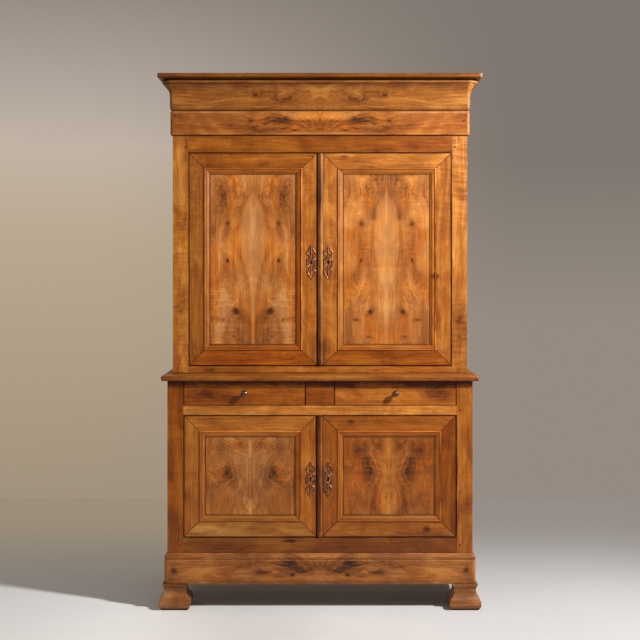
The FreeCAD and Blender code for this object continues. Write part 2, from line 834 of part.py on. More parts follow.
def moulding_ring(name, rect, face):
    """The applied moulding as one ring: a raised outer bead, a hollow, and a quirk at the panel."""
    low_x, high_x, low_z, high_z = rect
    path = doc.addObject("Sketcher::SketchObject", name + "Path")
    path.Placement.Rotation = FreeCAD.Rotation(FreeCAD.Vector(1, 0, 0), 90)
    outline(path, (low_x, low_z), (high_x, low_z), (high_x, high_z), (low_x, high_z), (low_x, low_z))
    place(path, y=face)
    profile = doc.addObject("Sketcher::SketchObject", name + "Profile")

    def points(shares, depth):
        return tuple((f"moulding_width * {across}", f"{depth} * {down}") for across, down in shares)

    bead = points(MOULDING_BEAD_SHARES, "-moulding_proud")
    step = points([MOULDING_STEP_SHARES], "moulding_proud")[0]
    hollow = points(MOULDING_HOLLOW_SHARES, "panel_sink")
    toe = points(MOULDING_TOE_SHARES, "panel_sink")
    edge = ("moulding_width", toe[1][1])
    foot = ("moulding_width", "panel_sink")
    heel = ("0", "panel_sink")
    outline(profile, heel, ("0", "0"), bead, step, hollow, toe, edge, foot, heel)
    place(profile, low_x, face, f"({low_z} + {high_z}) / 2")
    ring = doc.addObject("Part::Sweep", name)
    ring.Sections = [profile]
    ring.Spine = (path, [])
    ring.Solid = True
    ring.Transition = "Right corner"
    return ring


def pivot_leaf(name, hinge_x, inward, face, level, up):
    """A pivot leaf flush in a door edge, with its pin, and the rail's leaf with the bore for the pin."""
    start = f"{hinge_x} + ({inward}) * leaf_end_margin"
    end = f"{hinge_x} + ({inward}) * (leaf_end_margin + leaf_length)"
    span = (start, end) if inward == "1" else (end, start)
    across = (f"{face} + leaf_margin", f"{face} + leaf_margin + leaf_width")
    away = f"{level} + ({up}) * door_gap"
    spot_x = f"{hinge_x} + ({inward}) * pivot_inset"
    spot_y = f"{face} + pivot_set_back"
    own = sorted_span(level, f"{level} - ({up}) * leaf_thickness", up)
    rail = sorted_span(f"{away} + ({up}) * leaf_thickness", away, up)
    plate = board(name + "Plate", span, across, own)
    reach = "(leaf_thickness + door_gap + pivot_depth)"
    foot = f"{level} - leaf_thickness" if up == "1" else f"{level} + leaf_thickness - {reach}"
    pin = rod(name + "Pin", "pivot_radius", reach, spot_x, spot_y, foot)
    leaf = fuse(name, plate, pin)
    rail_plate = board(name + "RailPlate", span, across, rail)
    bore_foot = away if up == "1" else f"{away} - pivot_depth"
    bore = rod(name + "Bore", "pivot_radius + pivot_clearance", "pivot_depth", spot_x, spot_y, bore_foot)
    socket = cut(name + "Socket", rail_plate, bore)
    return leaf, plate, socket, [rail_plate, bore]


def sorted_span(high, low, up):
    return (low, high) if up == "1" else (high, low)


def escutcheon(name, x, z, face):
    """A pierced cartouche: lobed outline, two eyes and the keyhole."""
    half_wide = "escutcheon_width / 2"
    half_tall = "escutcheon_height / 2"

    def point(shares, side=1):
        return (f"{side * shares[0]} * {half_wide}", f"{shares[1]} * {half_tall}")

    right = [(point(bulge), point(end)) for bulge, end in ESCUTCHEON_LOBE_SHARES]
    ends = [(0.0, -1.0)] + [end for _, end in ESCUTCHEON_LOBE_SHARES]
    left = [
        (point(bulge, -1), point(ends[count], -1))
        for count, (bulge, _) in reversed(list(enumerate(ESCUTCHEON_LOBE_SHARES)))
    ]
    plate = prism(
        name + "Plate", "XZ", "escutcheon_thickness", [point((0.0, -1.0))] + right + left, x,
        f"{face} - escutcheon_thickness", z,
    )
    eye_wide, eye_low, eye_high = ESCUTCHEON_EYE_SHARES
    tools = [keyhole(name + "Slot", x, z, f"{face} - escutcheon_thickness - overrun", f"{face} + overrun")]
    for count, sign in enumerate((-1, 1)):
        low, high = (f"{sign * share} * {half_tall}" for share in (eye_low, eye_high))
        wide = f"{eye_wide} * {half_wide}"
        mid = f"({low} + {high}) / 2"
        eye = [("0", low), ((wide, mid), ("0", high)), ((f"-{wide}", mid), ("0", low))]
        tools.append(
            prism(
                f"{name}Eye{count}", "XZ", "escutcheon_thickness + overrun * 2", eye, x,
                f"{face} - escutcheon_thickness - overrun", z,
            )
        )
    return cut(name, plate, *tools)


def keyhole(name, x, z, start, end):
    """The tool for a keyhole: a round-ended upright slot between two planes."""
    half = "keyhole_width / 2"
    straight = "(keyhole_height - keyhole_width) / 2"
    points = [
        (half, f"-{straight}"),
        (half, straight),
        (("0", "keyhole_height / 2"), (f"-{half}", straight)),
        (f"-{half}", f"-{straight}"),
        (("0", "-keyhole_height / 2"), (half, f"-{straight}")),
    ]
    return prism(name, "XZ", f"({end}) - ({start})", points, x, start, z)


def door(label, low_x, high_x, low_z, high_z, face, hinged_left, key_rise):
    """A mitred frame, a grooved-in panel behind an applied moulding, pivots and an escutcheon."""
    name = label.title().replace("_", "")
    frame_low = low_x if hinged_left else f"{low_x} + bead_width"
    rect = (frame_low, high_x, low_z, high_z)
    hinge_x, inward = (low_x, "1") if hinged_left else (high_x, "-1")
    leaves = [
        pivot_leaf(name + "TopLeaf", hinge_x, inward, face, high_z, "1"),
        pivot_leaf(name + "FootLeaf", hinge_x, inward, face, low_z, "-1"),
    ]
    inner = grown(rect, "-frame_width")
    panel_rect = grown(inner, "groove_depth")
    panel = board(
        name + "Panel",
        (panel_rect[0], panel_rect[1]),
        (f"{face} + panel_sink", f"{face} + panel_sink + panel_thickness"),
        (panel_rect[2], panel_rect[3]),
    )
    key_x = f"{high_x} - escutcheon_inset" if hinged_left else f"{frame_low} + escutcheon_inset"
    key_z = f"{low_z} - door_gap + {key_rise}"
    key_end = f"{face} + blind_keyhole_depth" if hinged_left else f"{face} + door_thickness + overrun"
    key_tool = keyhole(name + "Keyhole", key_x, key_z, f"{face} - overrun", key_end)
    members = mitred_members(name + "Member", rect, "frame_width", face, "door_thickness")
    keyed_side = 2 if hinged_left else 0
    frame = []
    for count, member in enumerate(members):
        tools = [panel, leaves[0][1], leaves[1][1]] + ([key_tool] if count == keyed_side else [])
        frame.append(cut(member.Name + "Worked", member, *tools))
    if not hinged_left:
        frame.append(astragal(name + "Astragal", low_x, frame_low, low_z, high_z, face))
    ring = moulding_ring(name + "Ring", inner, face)
    wedges = mitred_members(
        name + "Mitre", inner, "moulding_width", f"{face} - moulding_proud - overrun",
        "moulding_proud + panel_sink + overrun * 2",
    )
    node(label + "_frame", frame)
    node(label + "_mouldings", [common(wedge.Name + "Length", ring, wedge) for wedge in wedges])
    node(label + "_panel", [panel])
    node(label + "_pivots", [leaves[0][0], leaves[1][0]])
    node(label + "_escutcheon", [escutcheon(name + "Escutcheon", key_x, key_z, face)])
    if not hinged_left:
        lock(label, name, low_x, key_z, f"{face} + door_thickness")
    return [leaf[2] for leaf in leaves], [tool for leaf in leaves for tool in leaf[3]]


def astragal(name, low_x, high_x, low_z, high_z, face):
    """The half-round strip on the meeting edge of a right-hand door."""
    points = [
        (low_x, f"{face} + door_thickness"),
        (low_x, face),
        ((f"({low_x} + {high_x}) / 2", f"{face} - bead_proud"), (high_x, face)),
        (high_x, f"{face} + door_thickness"),
        (low_x, f"{face} + door_thickness"),
    ]
    return prism(name, "XY", f"{high_z} - ({low_z})", points, z=low_z)


def lock(label, name, edge, level, back):
    """A rim lock on the inside face, with the bolt that slides past the edge behind the other door."""
    start = f"{edge} + lock_margin"
    case = board(
        name + "LockBlank",
        (start, f"{start} + lock_length"),
        (back, f"{back} + lock_thickness"),
        (f"{level} - lock_height / 2", f"{level} + lock_height / 2"),
    )
    middle = f"{back} + lock_thickness / 2"
    chase_deep = "bolt_thickness / 2 + bolt_clearance"
    chase_tall = "bolt_height / 2 + bolt_clearance"
    chase = board(
        name + "LockChase",
        (f"{start} - overrun", f"{start} + bolt_length + bolt_clearance"),
        (f"{middle} - ({chase_deep})", f"{middle} + {chase_deep}"),
        (f"{level} - ({chase_tall})", f"{level} + {chase_tall}"),
    )
    bolt = board(
        name + "Bolt",
        (start, f"{start} + bolt_length"),
        (f"{middle} - bolt_thickness / 2", f"{middle} + bolt_thickness / 2"),
        (f"{level} - bolt_height / 2", f"{level} + bolt_height / 2"),
    )
    node(label.replace("_door", "_lock_case"), [cut(name + "LockCase", case, chase)])
    node(label.replace("_door", "_lock_bolt"), [bolt])


def doors():
    """Both pairs.  Returns the rail leaves and the tools that let them into the rails."""
    sockets, lower_tools, upper_tools = [], [], []
    for level, tools in (("lower", lower_tools), ("upper", upper_tools)):
        meeting = f"{level}_meeting"
        low_z = f"{level}_sill + door_gap"
        high_z = f"{level}_lintel - door_gap"
        face = f"{level}_door_face"
        rise = f"{level}_escutcheon_rise"
        left = (f"-{level}_inner + door_gap", f"{meeting} - meeting_gap / 2")
        right = (f"{meeting} + meeting_gap / 2", f"{level}_inner - door_gap")
        for hand, (low_x, high_x) in (("left", left), ("right", right)):
            made, cutters = door(
                f"{level}_{hand}_door", low_x, high_x, low_z, high_z, face, hand == "left", rise
            )
            sockets += made
            tools += cutters
    node("pivot_sockets", sockets)
    return lower_tools, upper_tools


def drawer_side(name, x, low, high, start, end):
    """A drawer side with dovetails that lap into the front and into the back."""
    pitch = f"(({high}) - ({low})) / {DOVETAIL_COUNT}"
    tail = f"{pitch} * {DOVETAIL_SHARE} / 2"

    def comb(base, tip, order):
        points = []
        for count in order:
            middle = f"{low} + {pitch} * {count * 2 + 1} / 2"
            sign = 1 if order.step > 0 else -1
            near = f"{middle} - {sign} * ({tail})"
            far = f"{middle} + {sign} * ({tail})"
            points += [
                (base, near),
                (tip, f"{near} - {sign} * dovetail_flare"),
                (tip, f"{far} + {sign} * dovetail_flare"),
                (base, far),
            ]
        return points

    front_base = f"{start} + dovetail_length"
    back_base = f"{end} - drawer_side_thickness"
    points = [(front_base, low)]
    points += comb(front_base, start, range(0, DOVETAIL_COUNT, 1))
    points += [(front_base, high), (back_base, high)]
    points += comb(back_base, end, range(DOVETAIL_COUNT - 1, -1, -1))
    points += [(back_base, low), (front_base, low)]
    return prism(name, "YZ", "drawer_side_thickness", points, x=x)


def knob(name, x, z, face):
    """A turned mushroom knob on a collar, with the stem that goes through the drawer front.  Its dome is
    part of a ball whose centre lies on the axis."""
    rim = f"knob_reach * {KNOB_RIM_SHARE}"
    dome_rise = f"(knob_reach - {rim})"
    dome_radius = f"((knob_radius ^ 2 + {dome_rise} ^ 2) / ({dome_rise} * 2))"
    below_top = f"({dome_rise} * (1 - {KNOB_DOME_SHARE}))"
    body = turned(
        name,
        [
            ("0", "-drawer_front_thickness"),
            ("knob_stem_radius", "-drawer_front_thickness"),
            ("knob_stem_radius", "0"),
            ("knob_collar_radius", "0"),
            ("knob_collar_radius", "knob_collar_height"),
            ("knob_neck_radius", "knob_collar_height"),
            ("knob_neck_radius", f"knob_reach * {KNOB_NECK_SHARE}"),
            ("knob_radius", f"knob_reach * {KNOB_UNDERSIDE_SHARE}"),
            ("knob_radius", rim),
            (
                (f"sqrt({below_top} * ({dome_radius} * 2 - {below_top}))", f"knob_reach - {below_top}"),
                ("0", "knob_reach"),
            ),
            ("0", "-drawer_front_thickness"),
        ],
    )
    body.Placement.Rotation = FreeCAD.Rotation(FreeCAD.Vector(1, 0, 0), 90)
    return place(body, x, face, z)


def drawer(label, low_x, high_x):
    """A drawer: front, dovetailed sides and back, a bottom slid into grooves, and its knob."""
    name = label.title().replace("_", "")
    low_z = "drawer_sill + drawer_run_gap"
    high_z = "buffet_head - drawer_top_gap"
    side_high = f"{high_z} - drawer_side_drop"
    face = "drawer_face"
    inside = f"{face} + drawer_front_thickness"
    end = f"{face} + drawer_length"
    blank = board(name + "FrontBlank", (low_x, high_x), (face, inside), (low_z, high_z))
    lap = f"{inside} - dovetail_length"
    sides = [
        drawer_side(name + "SideLeft", low_x, low_z, side_high, lap, end),
        drawer_side(name + "SideRight", f"{high_x} - drawer_side_thickness", low_z, side_high, lap, end),
    ]
    back_low = f"{low_z} + drawer_bottom_rise + drawer_bottom_thickness"
    back = board(
        name + "BackBlank", (low_x, high_x), (f"{end} - drawer_side_thickness", end), (back_low, side_high)
    )
    slot = "(drawer_side_thickness - drawer_slot_depth)"
    bottom = board(
        name + "Bottom",
        (f"{low_x} + {slot}", f"{high_x} - {slot}"),
        (f"{inside} - drawer_slot_depth", end),
        (f"{low_z} + drawer_bottom_rise", back_low),
    )
    middle = f"({low_x} + {high_x}) / 2"
    middle_z = f"({low_z} + {high_z}) / 2"
    pull = knob(name + "Knob", middle, middle_z, face)
    stem_hole = rod(
        name + "StemHole", "knob_stem_radius + peg_clearance", "drawer_front_thickness", middle, face,
        middle_z, axis="y",
    )
    front = cut(name + "Front", blank, bottom, stem_hole, *sides)
    box_back = cut(name + "Back", back, *sides)
    node(label + "_front", [front])
    node(label + "_box", [cut(side.Name + "Grooved", side, bottom) for side in sides] + [box_back])
    node(label + "_bottom", [bottom])
    node(label + "_knob", [pull])


def drawers(posts):
    """Two drawers, the block between them, and the runners and guides behind the drawer rail."""
    half_block = "divider_width / 2"
    outer = "lower_inner - drawer_gap"
    inner = f"{half_block} + drawer_gap"
    drawer("left_drawer", f"-({outer})", f"-({inner})")
    drawer("right_drawer", inner, outer)
    front = "lower_front"
    behind = f"{front} + rail_thickness"
    upright = ("drawer_sill", "buffet_head")
    node("drawer_divider", [board("DividerBlock", (f"-{half_block}", half_block), (front, behind), upright)])
    run = (behind, "back_face")
    under = ("drawer_sill - runner_thickness", "drawer_sill")
    above = ("drawer_sill", "drawer_sill + guide_height")
    side_face = "lower_half - side_recess - side_rail_thickness"
    side_runner = board("SideRunner", ("lower_inner - runner_width", side_face), run, under)
    side_guide = board("SideGuide", ("lower_inner - drawer_gap + guide_gap", side_face), run, above)
    middle_edge = f"{half_block} + runner_width"
    middle_runner = board("MiddleRunner", (f"-({middle_edge})", middle_edge), run, under)
    guide_edge = f"{half_block} + drawer_gap - guide_gap"
    middle_guide = board("MiddleGuide", (f"-({guide_edge})", guide_edge), run, above)
    notched = [cut("SideRunnerNotched", side_runner, *posts), cut("SideGuideNotched", side_guide, *posts)]
    pairs = [twin for piece in notched for twin in both_sides(piece.Name, piece)]
    node("drawer_runners", pairs + [middle_runner, middle_guide])


def build():
    fill_sheet()
    lower_tools, upper_tools = doors()
    front_feet()
    plinth()
    buffet_rails, buffet_posts, buffet_pegs, buffet_cleats = carcass(
        "Buffet", "buffet", "lower_half", "lower_inner", "lower_front", "foot_height",
        ("0", "plinth_top"), "lower_sill", "buffet_head",
        [("plinth_top", "lower_sill"), ("lower_lintel", "drawer_sill")],
        ["(plinth_top + lower_sill) / 2", "(lower_lintel + drawer_sill) / 2"],
        ("lower_sill", "lower_lintel", LOWER_SHELVES),
    )
    hutch_rails, hutch_posts, hutch_pegs, hutch_cleats = carcass(
        "Hutch", "hutch", "upper_half", "upper_inner", "upper_front", "hutch_base",
        ("hutch_base", "hutch_base"), "upper_sill", "hutch_head",
        [("hutch_base", "upper_sill"), ("upper_lintel", "hutch_head")],
        ["upper_lintel + peg_rise"],
        ("upper_sill", "upper_lintel", UPPER_SHELVES),
    )
    node("joint_pegs", buffet_pegs + hutch_pegs)
    node("shelf_cleats", buffet_cleats + hutch_cleats)
    for label, rails, tools in (
        ("buffet_front_rails", buffet_rails, lower_tools),
        ("hutch_front_rails", hutch_rails, upper_tools),
    ):
        node(label, [cut(rail.Name + "Recessed", rail, *tools) for rail in rails])
    for label, level, top, posts in (
        ("buffet_floor", "lower", "lower_sill", buffet_posts),
        ("hutch_floor", "upper", "upper_sill", hutch_posts),
        ("hutch_ceiling", "upper", "hutch_head", hutch_posts),
    ):
        name = label.title().replace("_", "")
        node(label, [deck(name, f"{level}_half", f"{level}_front", f"{top} - deck_thickness", posts)])
    drawers(buffet_posts)
    nosed_top()
    frieze()
    cornice()
    cornice_cap()
    doc.recompute()


def check_and_write():
    faults = [thing.Label for thing in doc.Objects if {"Invalid", "Error"} & set(thing.State)]
    faults += [
        label for label, piece in nodes.items()
        if piece.Shape.isNull() or not piece.Shape.isValid() or not piece.Shape.Solids
    ]
    if faults:
        raise RuntimeError("not built: " + ", ".join(faults))
    os.makedirs("parts", exist_ok=True)
    for label, piece in nodes.items():
        piece.Shape.exportStep(f"parts/{label}.step")
    print(len(nodes), "nodes,", sum(len(piece.Shape.Solids) for piece in nodes.values()), "solids")


build()
check_and_write()
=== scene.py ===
"""Looks of the two-part cherry cupboard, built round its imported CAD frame. Every length is in metres."""

import json
import math
import random

import bmesh
import bpy
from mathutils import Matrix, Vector

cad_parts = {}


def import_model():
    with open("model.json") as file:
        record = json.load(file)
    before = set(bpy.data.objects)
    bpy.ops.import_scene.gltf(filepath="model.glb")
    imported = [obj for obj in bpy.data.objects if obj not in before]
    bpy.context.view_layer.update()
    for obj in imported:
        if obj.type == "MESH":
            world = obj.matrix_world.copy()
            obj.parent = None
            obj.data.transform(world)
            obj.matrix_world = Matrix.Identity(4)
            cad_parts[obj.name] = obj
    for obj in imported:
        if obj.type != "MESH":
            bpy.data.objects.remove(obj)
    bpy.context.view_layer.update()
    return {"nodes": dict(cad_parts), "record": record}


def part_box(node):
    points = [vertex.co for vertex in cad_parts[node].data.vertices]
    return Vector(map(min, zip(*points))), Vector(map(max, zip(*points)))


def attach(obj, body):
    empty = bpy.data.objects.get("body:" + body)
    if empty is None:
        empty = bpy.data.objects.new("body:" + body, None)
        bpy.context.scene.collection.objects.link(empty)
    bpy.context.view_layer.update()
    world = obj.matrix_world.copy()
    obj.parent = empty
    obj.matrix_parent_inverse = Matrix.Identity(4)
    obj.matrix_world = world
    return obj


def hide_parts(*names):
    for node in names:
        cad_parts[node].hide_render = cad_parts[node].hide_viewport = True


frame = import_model()

BODY_OF = {node: body for body, nodes in frame["record"]["behaviour"]["bodies"].items() for node in nodes}
SLOT_OF = {part["node"]: part["material_slot"] for part in frame["record"]["subparts"]}


def tint(red, green, blue):
    """A colour that is written as it looks on a screen, 0 to 255, as Blender's linear RGBA."""
    linear = [c / 12.92 if c <= 0.04045 else ((c + 0.055) / 1.055) ** 2.4
              for c in (red / 255, green / 255, blue / 255)]
    return (*linear, 1.0)


# The camera, as measured in the photograph: level, in front of the middle of the cupboard.
CAMERA_DISTANCE = 4.600
CAMERA_HEIGHT = 1.450
CAMERA_LENS = 60.75
CAMERA_SHIFT = -0.08125

# The floor: its edges, its colours, the span of its clouds, and the spans of x where its colours change. It
# is painted paler at the left, painted light, and greyer towards the key lamp at the right, painted shade.
FLOOR_HALF = 3.4
FLOOR_FRONT = -3.4
FLOOR_BACK = 1.95
FLOOR_SQUARES = 8
FLOOR_MIDDLE = (tint(199, 199, 200), tint(209, 209, 210))
FLOOR_CLOUDS = (0.35, 0.65)
FLOOR_LEFT_PAINTED_LIGHT = tint(240, 240, 240)
FLOOR_RIGHT_PAINTED_SHADE = (tint(184, 185, 186), tint(158, 159, 160))
LEFT_BLEND = (-0.2, -0.9)
RIGHT_BLEND = (0.0, 1.1)
LAMP_SHADE_BLEND = (1.1, 2.4)

# Far back the camera sees a painted glow in the wall's colours in place of the floor: its colours, the x
# between which they change, and the y between which it rises to its share.
PAINTED_GLOW_LEFT = tint(158, 143, 122)
PAINTED_GLOW_RIGHT = tint(150, 141, 135)
PAINTED_GLOW_BLEND = (-1.0, 1.0)
PAINTED_GLOW_DEPTH = (-0.20, 1.55)
PAINTED_GLOW_SHARE = 0.95

# The studio wall, seen by the camera and in reflections: its paint tinted by painted warm light and plain,
# the shares of its height between which the painted warmth at the left ends, and its brightness at shares
# of its height, in a painted pool of the lamp's light at the left and in painted shade at the right. Its
# heights and its blend are parts of the direction of a look.
WALL_WARM = (1.0, 0.80, 0.57, 1.0)
WALL_PLAIN = (1.0, 0.86, 0.75, 1.0)
WALL_WARM_END = (0.45, 0.85)
WALL_POOL = ((0.0, 0.36), (0.70, 0.54), (1.0, 0.30))
WALL_SHADE = ((0.34, 0.30), (0.68, 0.21))
WALL_HEIGHTS = (-0.20, 0.24)
WALL_BLEND = (-0.22, 0.20)

# The light: even from all round, and from two lamps, each a place, a target, a size, watts and a colour.
ALL_ROUND_COLOUR = (1.0, 0.97, 0.94, 1.0)
ALL_ROUND_STRENGTH = 0.17
LAMPS = {
    "key": ((2.40, -1.52, 2.72), (0.0, -0.25, 1.1), 0.28, 197.0, (1.0, 0.98, 0.95)),
    "fill": ((-2.9, -2.5, 3.5), (-0.8, -0.2, 0.4), 1.8, 27.0, (1.0, 0.88, 0.74)),
}

# Edges: how far and how round use has made them, and the angles that part sharp, flat and smooth ones.
ARRIS = 0.0013
ARRIS_STEPS = 2
ARRIS_PROFILE = 0.6
SHARP_EDGE = math.radians(35)
FLAT_EDGE = math.radians(0.4)
SMOOTH_ANGLE = math.radians(40)
PLATE_SMOOTH_ANGLE = math.radians(60)

# Corners that match to this many digits are one.
POINT_DIGITS = 6

# Patterns in wood: how often each repeats in a metre along the grain, across it and through the board,
# and how far along them a board's seed starts.
CLOUD_STRETCH = (5.5, 11.0, 11.0)
WARMTH_STRETCH = (5.0, 12.0, 12.0)
DRIFT_STRETCH = (2.2, 7.0, 7.0)
STREAK_STRETCH = (7.0, 170.0, 170.0)
BAND_STRETCH = (1.2, 26.0, 26.0)
PORE_STRETCH = (90.0, 1300.0, 1300.0)
CURL_STRETCH = (70.0, 9.0, 9.0)
CURL_PATCH_STRETCH = (2.0, 4.0, 4.0)
WOBBLE_SCALE = 14.0
SEED_STEPS = (37.0, 17.0, 5.0)

# The values of a pattern between which what it draws goes from none to full.
PORE_SPAN = (0.60, 0.74)
CURL_PATCH_SPAN = (0.40, 0.60)
STROKE_SPAN = (0.56, 0.36)
WARM_SPAN = (0.46, 0.64)
DUSKY_SPAN = (0.52, 0.36)
DUSKY_TONES = (0.10, 0.42)

# How far each pattern moves the wood from its middle tone, and how far the drift moves the grain.
STREAK_WEIGHT = 1.15
BAND_WEIGHT = 0.80
CLOUD_WEIGHT = 1.25
PORE_WEIGHT = -0.18
FLAME_WEIGHT = 0.10
FLAME_COLOUR_WEIGHT = 0.30
DRIFT_PUSH = 0.06

# The two leaves of a book-matched panel: their brightness, and half the width of the seam.
LEAF_TONES = (1.05, 0.93)
LEAF_SEAM = 0.001

# Knots, in shares of their size: where the rings are full, the core's edge and the push on the grain.
RINGS_FULL = 0.5
RING_WOBBLE = 5.0
CORE_EDGE = 0.40
KNOT_PUSH = 0.6

# Marks, and dirt and painted shade in lines: how uneven a mark is, how wide dirt and painted shade lie at a
# joint in metres, and the share of each that is fully dark.
MARK_WOBBLE = 1.6
MARK_CORE = 0.15
LINE_CORE = 0.3
JOINT_LINE_WIDTH = 0.0034
JOINT_CORE = 0.25

# The feather of a crotch: its strokes' unevenness and change with the distance, and its own outline.
STROKE_WOBBLE = 0.28
STROKE_CHANGE = 6.0
FEATHER_WOBBLE = 1.5
FEATHER_EDGE = (1.05, 0.25)
FEATHER_SHARE = 0.55
FEATHER_CLUSTERS = (0.60, 0.36, 0.10, 0.75)

# The flame's uneven outline, and the shares of its half width between which it fades.
FLAME_WOBBLE = 0.40
FLAME_EDGE = (-0.08, 0.26)

# What a board's redness takes from its green and from its blue.
REDNESS_GREEN = 0.25
REDNESS_BLUE = 0.75

# How wide a hollow is that holds dirt and painted shade in wood and patina in metal, and the openness from
# which the dirt and shade lie on wood.
WOOD_HOLLOW = 0.012
METAL_HOLLOW = 0.006
HOLLOW_OPENNESS = (0.90, 0.50)

# Dirt with its painted shade, and wear, come and go with the clouds: between which of their values, and the
# least share of each.
GRIME_AND_SHADE_PATCHES = (0.30, 0.62)
DIRT_AND_SHADE_PATCHES = (0.3, 0.6)
WEAR_PATCHES = (0.40, 0.58)
LEAST_GRIME_AND_SHADE = 0.8
LEAST_SEAM = 0.6
LEAST_QUIRK = 0.75
LEAST_WEAR = 0.1

# The dirt and painted shade from which an edge no longer shows its wear.
DIRT_AND_SHADE_EDGE = 0.25

# What clouds, pores and the dirt with its painted shade add to the roughness of wood, and streaks, pores
# and clouds to its height.
CLOUD_ROUGHNESS = 0.16
PORE_ROUGHNESS = 0.12
DIRT_ROUGHNESS = 0.25
STREAK_HEIGHT = 0.45
PORE_HEIGHT = -0.6
CLOUD_HEIGHT = 0.4

# The height of each relief in metres, and its strength.
WOOD_RELIEF = (0.0006, 0.6)
METAL_RELIEF = (0.0004, 0.5)
KNOB_RELIEF = (0.0002, 0.5)
FLOOR_RELIEF = (0.0005, 0.3)

# Metal's wear by its clouds and patina by its openness, and what its finer grain adds.
METAL_WEAR = (0.35, 0.65)
METAL_PATINA = (0.75, 0.2, 0.0, 0.8)
FINER = 14
FINE_ROUGHNESS = 0.25
FINE_HEIGHT = 0.4

# The fibres of the turned knobs, as a stretch, their share of the tone, and its span from dark to light.
KNOB_STRETCH = (260.0, 60.0, 900.0)
KNOB_FIBRE_SHARE = 0.6
KNOB_TONES = (0.35, 0.65)

# Keyhole plates: steps of their curves, sides of a strap, the half width in metres from which it has its
# full height, steps of the ring, and how far the dish's rim and the slot's edge stand out, as shares.
CURVE_STEPS = 5
LIMB_SIDES = 8
FULL_RISE_HALF = 0.002
BOSS_STEPS = 40
BOSS_RISE = 0.55
KEYHOLE_RISE = 0.70

# A board whose middle lies within this share of its node's half size is on none of its sides.
NEAR_MIDDLE = 0.3


# Materials

class Graph:
    """Short calls that build a shader's nodes."""

    def __init__(self, tree):
        self.tree = tree

    def node(self, kind, inputs=(), **settings):
        made = self.tree.nodes.new("ShaderNode" + kind)
        for name, value in settings.items():
            setattr(made, name, value)
        for socket, value in dict(inputs).items():
            self.feed(made, socket, value)
        return made

    def feed(self, node, socket, value):
        if isinstance(value, bpy.types.NodeSocket):
            self.tree.links.new(value, node.inputs[socket])
        else:
            node.inputs[socket].default_value = value

    def math(self, operation, *values, clamp=False):
        return self.node("Math", dict(enumerate(values)), operation=operation, use_clamp=clamp).outputs[0]

    def add(self, *values):
        total = values[0]
        for value in values[1:]:
            total = self.math("ADD", total, value)
        return total

    def less(self, a, b):
        return self.math("SUBTRACT", a, b)

    def times(self, a, b):
        return self.math("MULTIPLY", a, b)

    def centred(self, pattern):
        """A pattern of 0 to 1, moved to lie round zero."""
        return self.less(pattern, 0.5)

    def span(self, value, low, high, to_low=0.0, to_high=1.0, smooth=False):
        """value mapped from low..high to to_low..to_high, held at the ends."""
        return self.node("MapRange", {0: value, 1: low, 2: high, 3: to_low, 4: to_high},
                         interpolation_type="SMOOTHSTEP" if smooth else "LINEAR").outputs[0]

    def split(self, vector):
        return self.node("SeparateXYZ", {0: vector}).outputs[:3]

    def vector(self, x, y, z):
        return self.node("CombineXYZ", {0: x, 1: y, 2: z}).outputs[0]

    def stretch(self, vector, by):
        return self.node("VectorMath", {0: vector, 1: by}, operation="MULTIPLY").outputs[0]

    def shift(self, vector, by):
        return self.node("VectorMath", {0: vector, 1: by}, operation="ADD").outputs[0]

    def noise(self, vector, detail, scale=1.0, roughness=0.55, distortion=0.0):
        return self.node("TexNoise", {"Vector": vector, "Scale": scale, "Detail": detail,
                                      "Roughness": roughness, "Distortion": distortion}).outputs[0]

    def mix(self, share, a, b, blend="MIX"):
        return self.node("Mix", {0: share, 6: a, 7: b}, data_type="RGBA", blend_type=blend).outputs[2]

    def ramp(self, value, stops):
        made = self.node("ValToRGB", {0: value})
        points = made.color_ramp.elements
        while len(points) < len(stops):
            points.new(0.5)
        for point, (position, colour) in zip(points, stops):
            point.position = position
            point.color = colour
        return made.outputs[0]

    def bump(self, height, distance, strength):
        return self.node("Bump", {"Height": height, "Distance": distance, "Strength": strength}).outputs[0]

    def attribute(self, name, output):
        return self.node("Attribute", attribute_name=name).outputs[output]

    def place(self):
        """Where a point lies in the frame, with the cupboard at rest."""
        return self.node("TexCoord").outputs["Object"]

    def openness(self, reach, samples):
        """1 on an open face, down to 0 in a hollow narrower than reach."""
        return self.node("AmbientOcclusion", {"Distance": reach}, samples=samples).outputs["AO"]


def material(name):
    """A new material, with its graph and its shader."""
    made = bpy.data.materials.new(name)
    made.use_nodes = True
    return made, Graph(made.node_tree), made.node_tree.nodes["Principled BSDF"]


def ellipse(graph, h, v, centre_h, centre_v, half_h, half_v, wobble):
    """How far a point lies from a centre, in shares of the two half sizes, with an uneven outline."""
    dh = graph.math("DIVIDE", graph.less(h, centre_h), half_h)
    dv = graph.math("DIVIDE", graph.less(v, centre_v), half_v)
    return graph.add(graph.math("SQRT", graph.add(graph.times(dh, dh), graph.times(dv, dv))), wobble)


def swirled(graph, h, v, wobble, swirls):
    """Growth rings round knots. Each swirl is its centre h and v, its half sizes, the number and strength
    of its rings, and how dark its core and halo are. Returns the rings, the dark and the grain's push."""
    rings_sum, dark, push = 0.0, 0.0, 0.0
    for centre_h, centre_v, half_h, half_v, rings, ring_strength, core, halo in swirls:
        distance = ellipse(graph, h, v, centre_h, centre_v, half_h, half_v, wobble)
        near = graph.span(distance, 1.0, 0.0, smooth=True)
        turns = graph.add(graph.times(distance, rings * math.tau), graph.times(wobble, RING_WOBBLE))
        ringed = graph.span(distance, 1.0, RINGS_FULL, smooth=True)
        wave = graph.times(graph.math("SINE", turns), ringed)
        rings_sum = graph.add(rings_sum, graph.times(wave, ring_strength))
        middle = graph.span(distance, CORE_EDGE, 0.0, smooth=True)
        dark = graph.add(dark, graph.times(middle, core), graph.times(near, halo))
        push = graph.add(push, graph.times(near, half_h * KNOT_PUSH))
    return rings_sum, dark, push


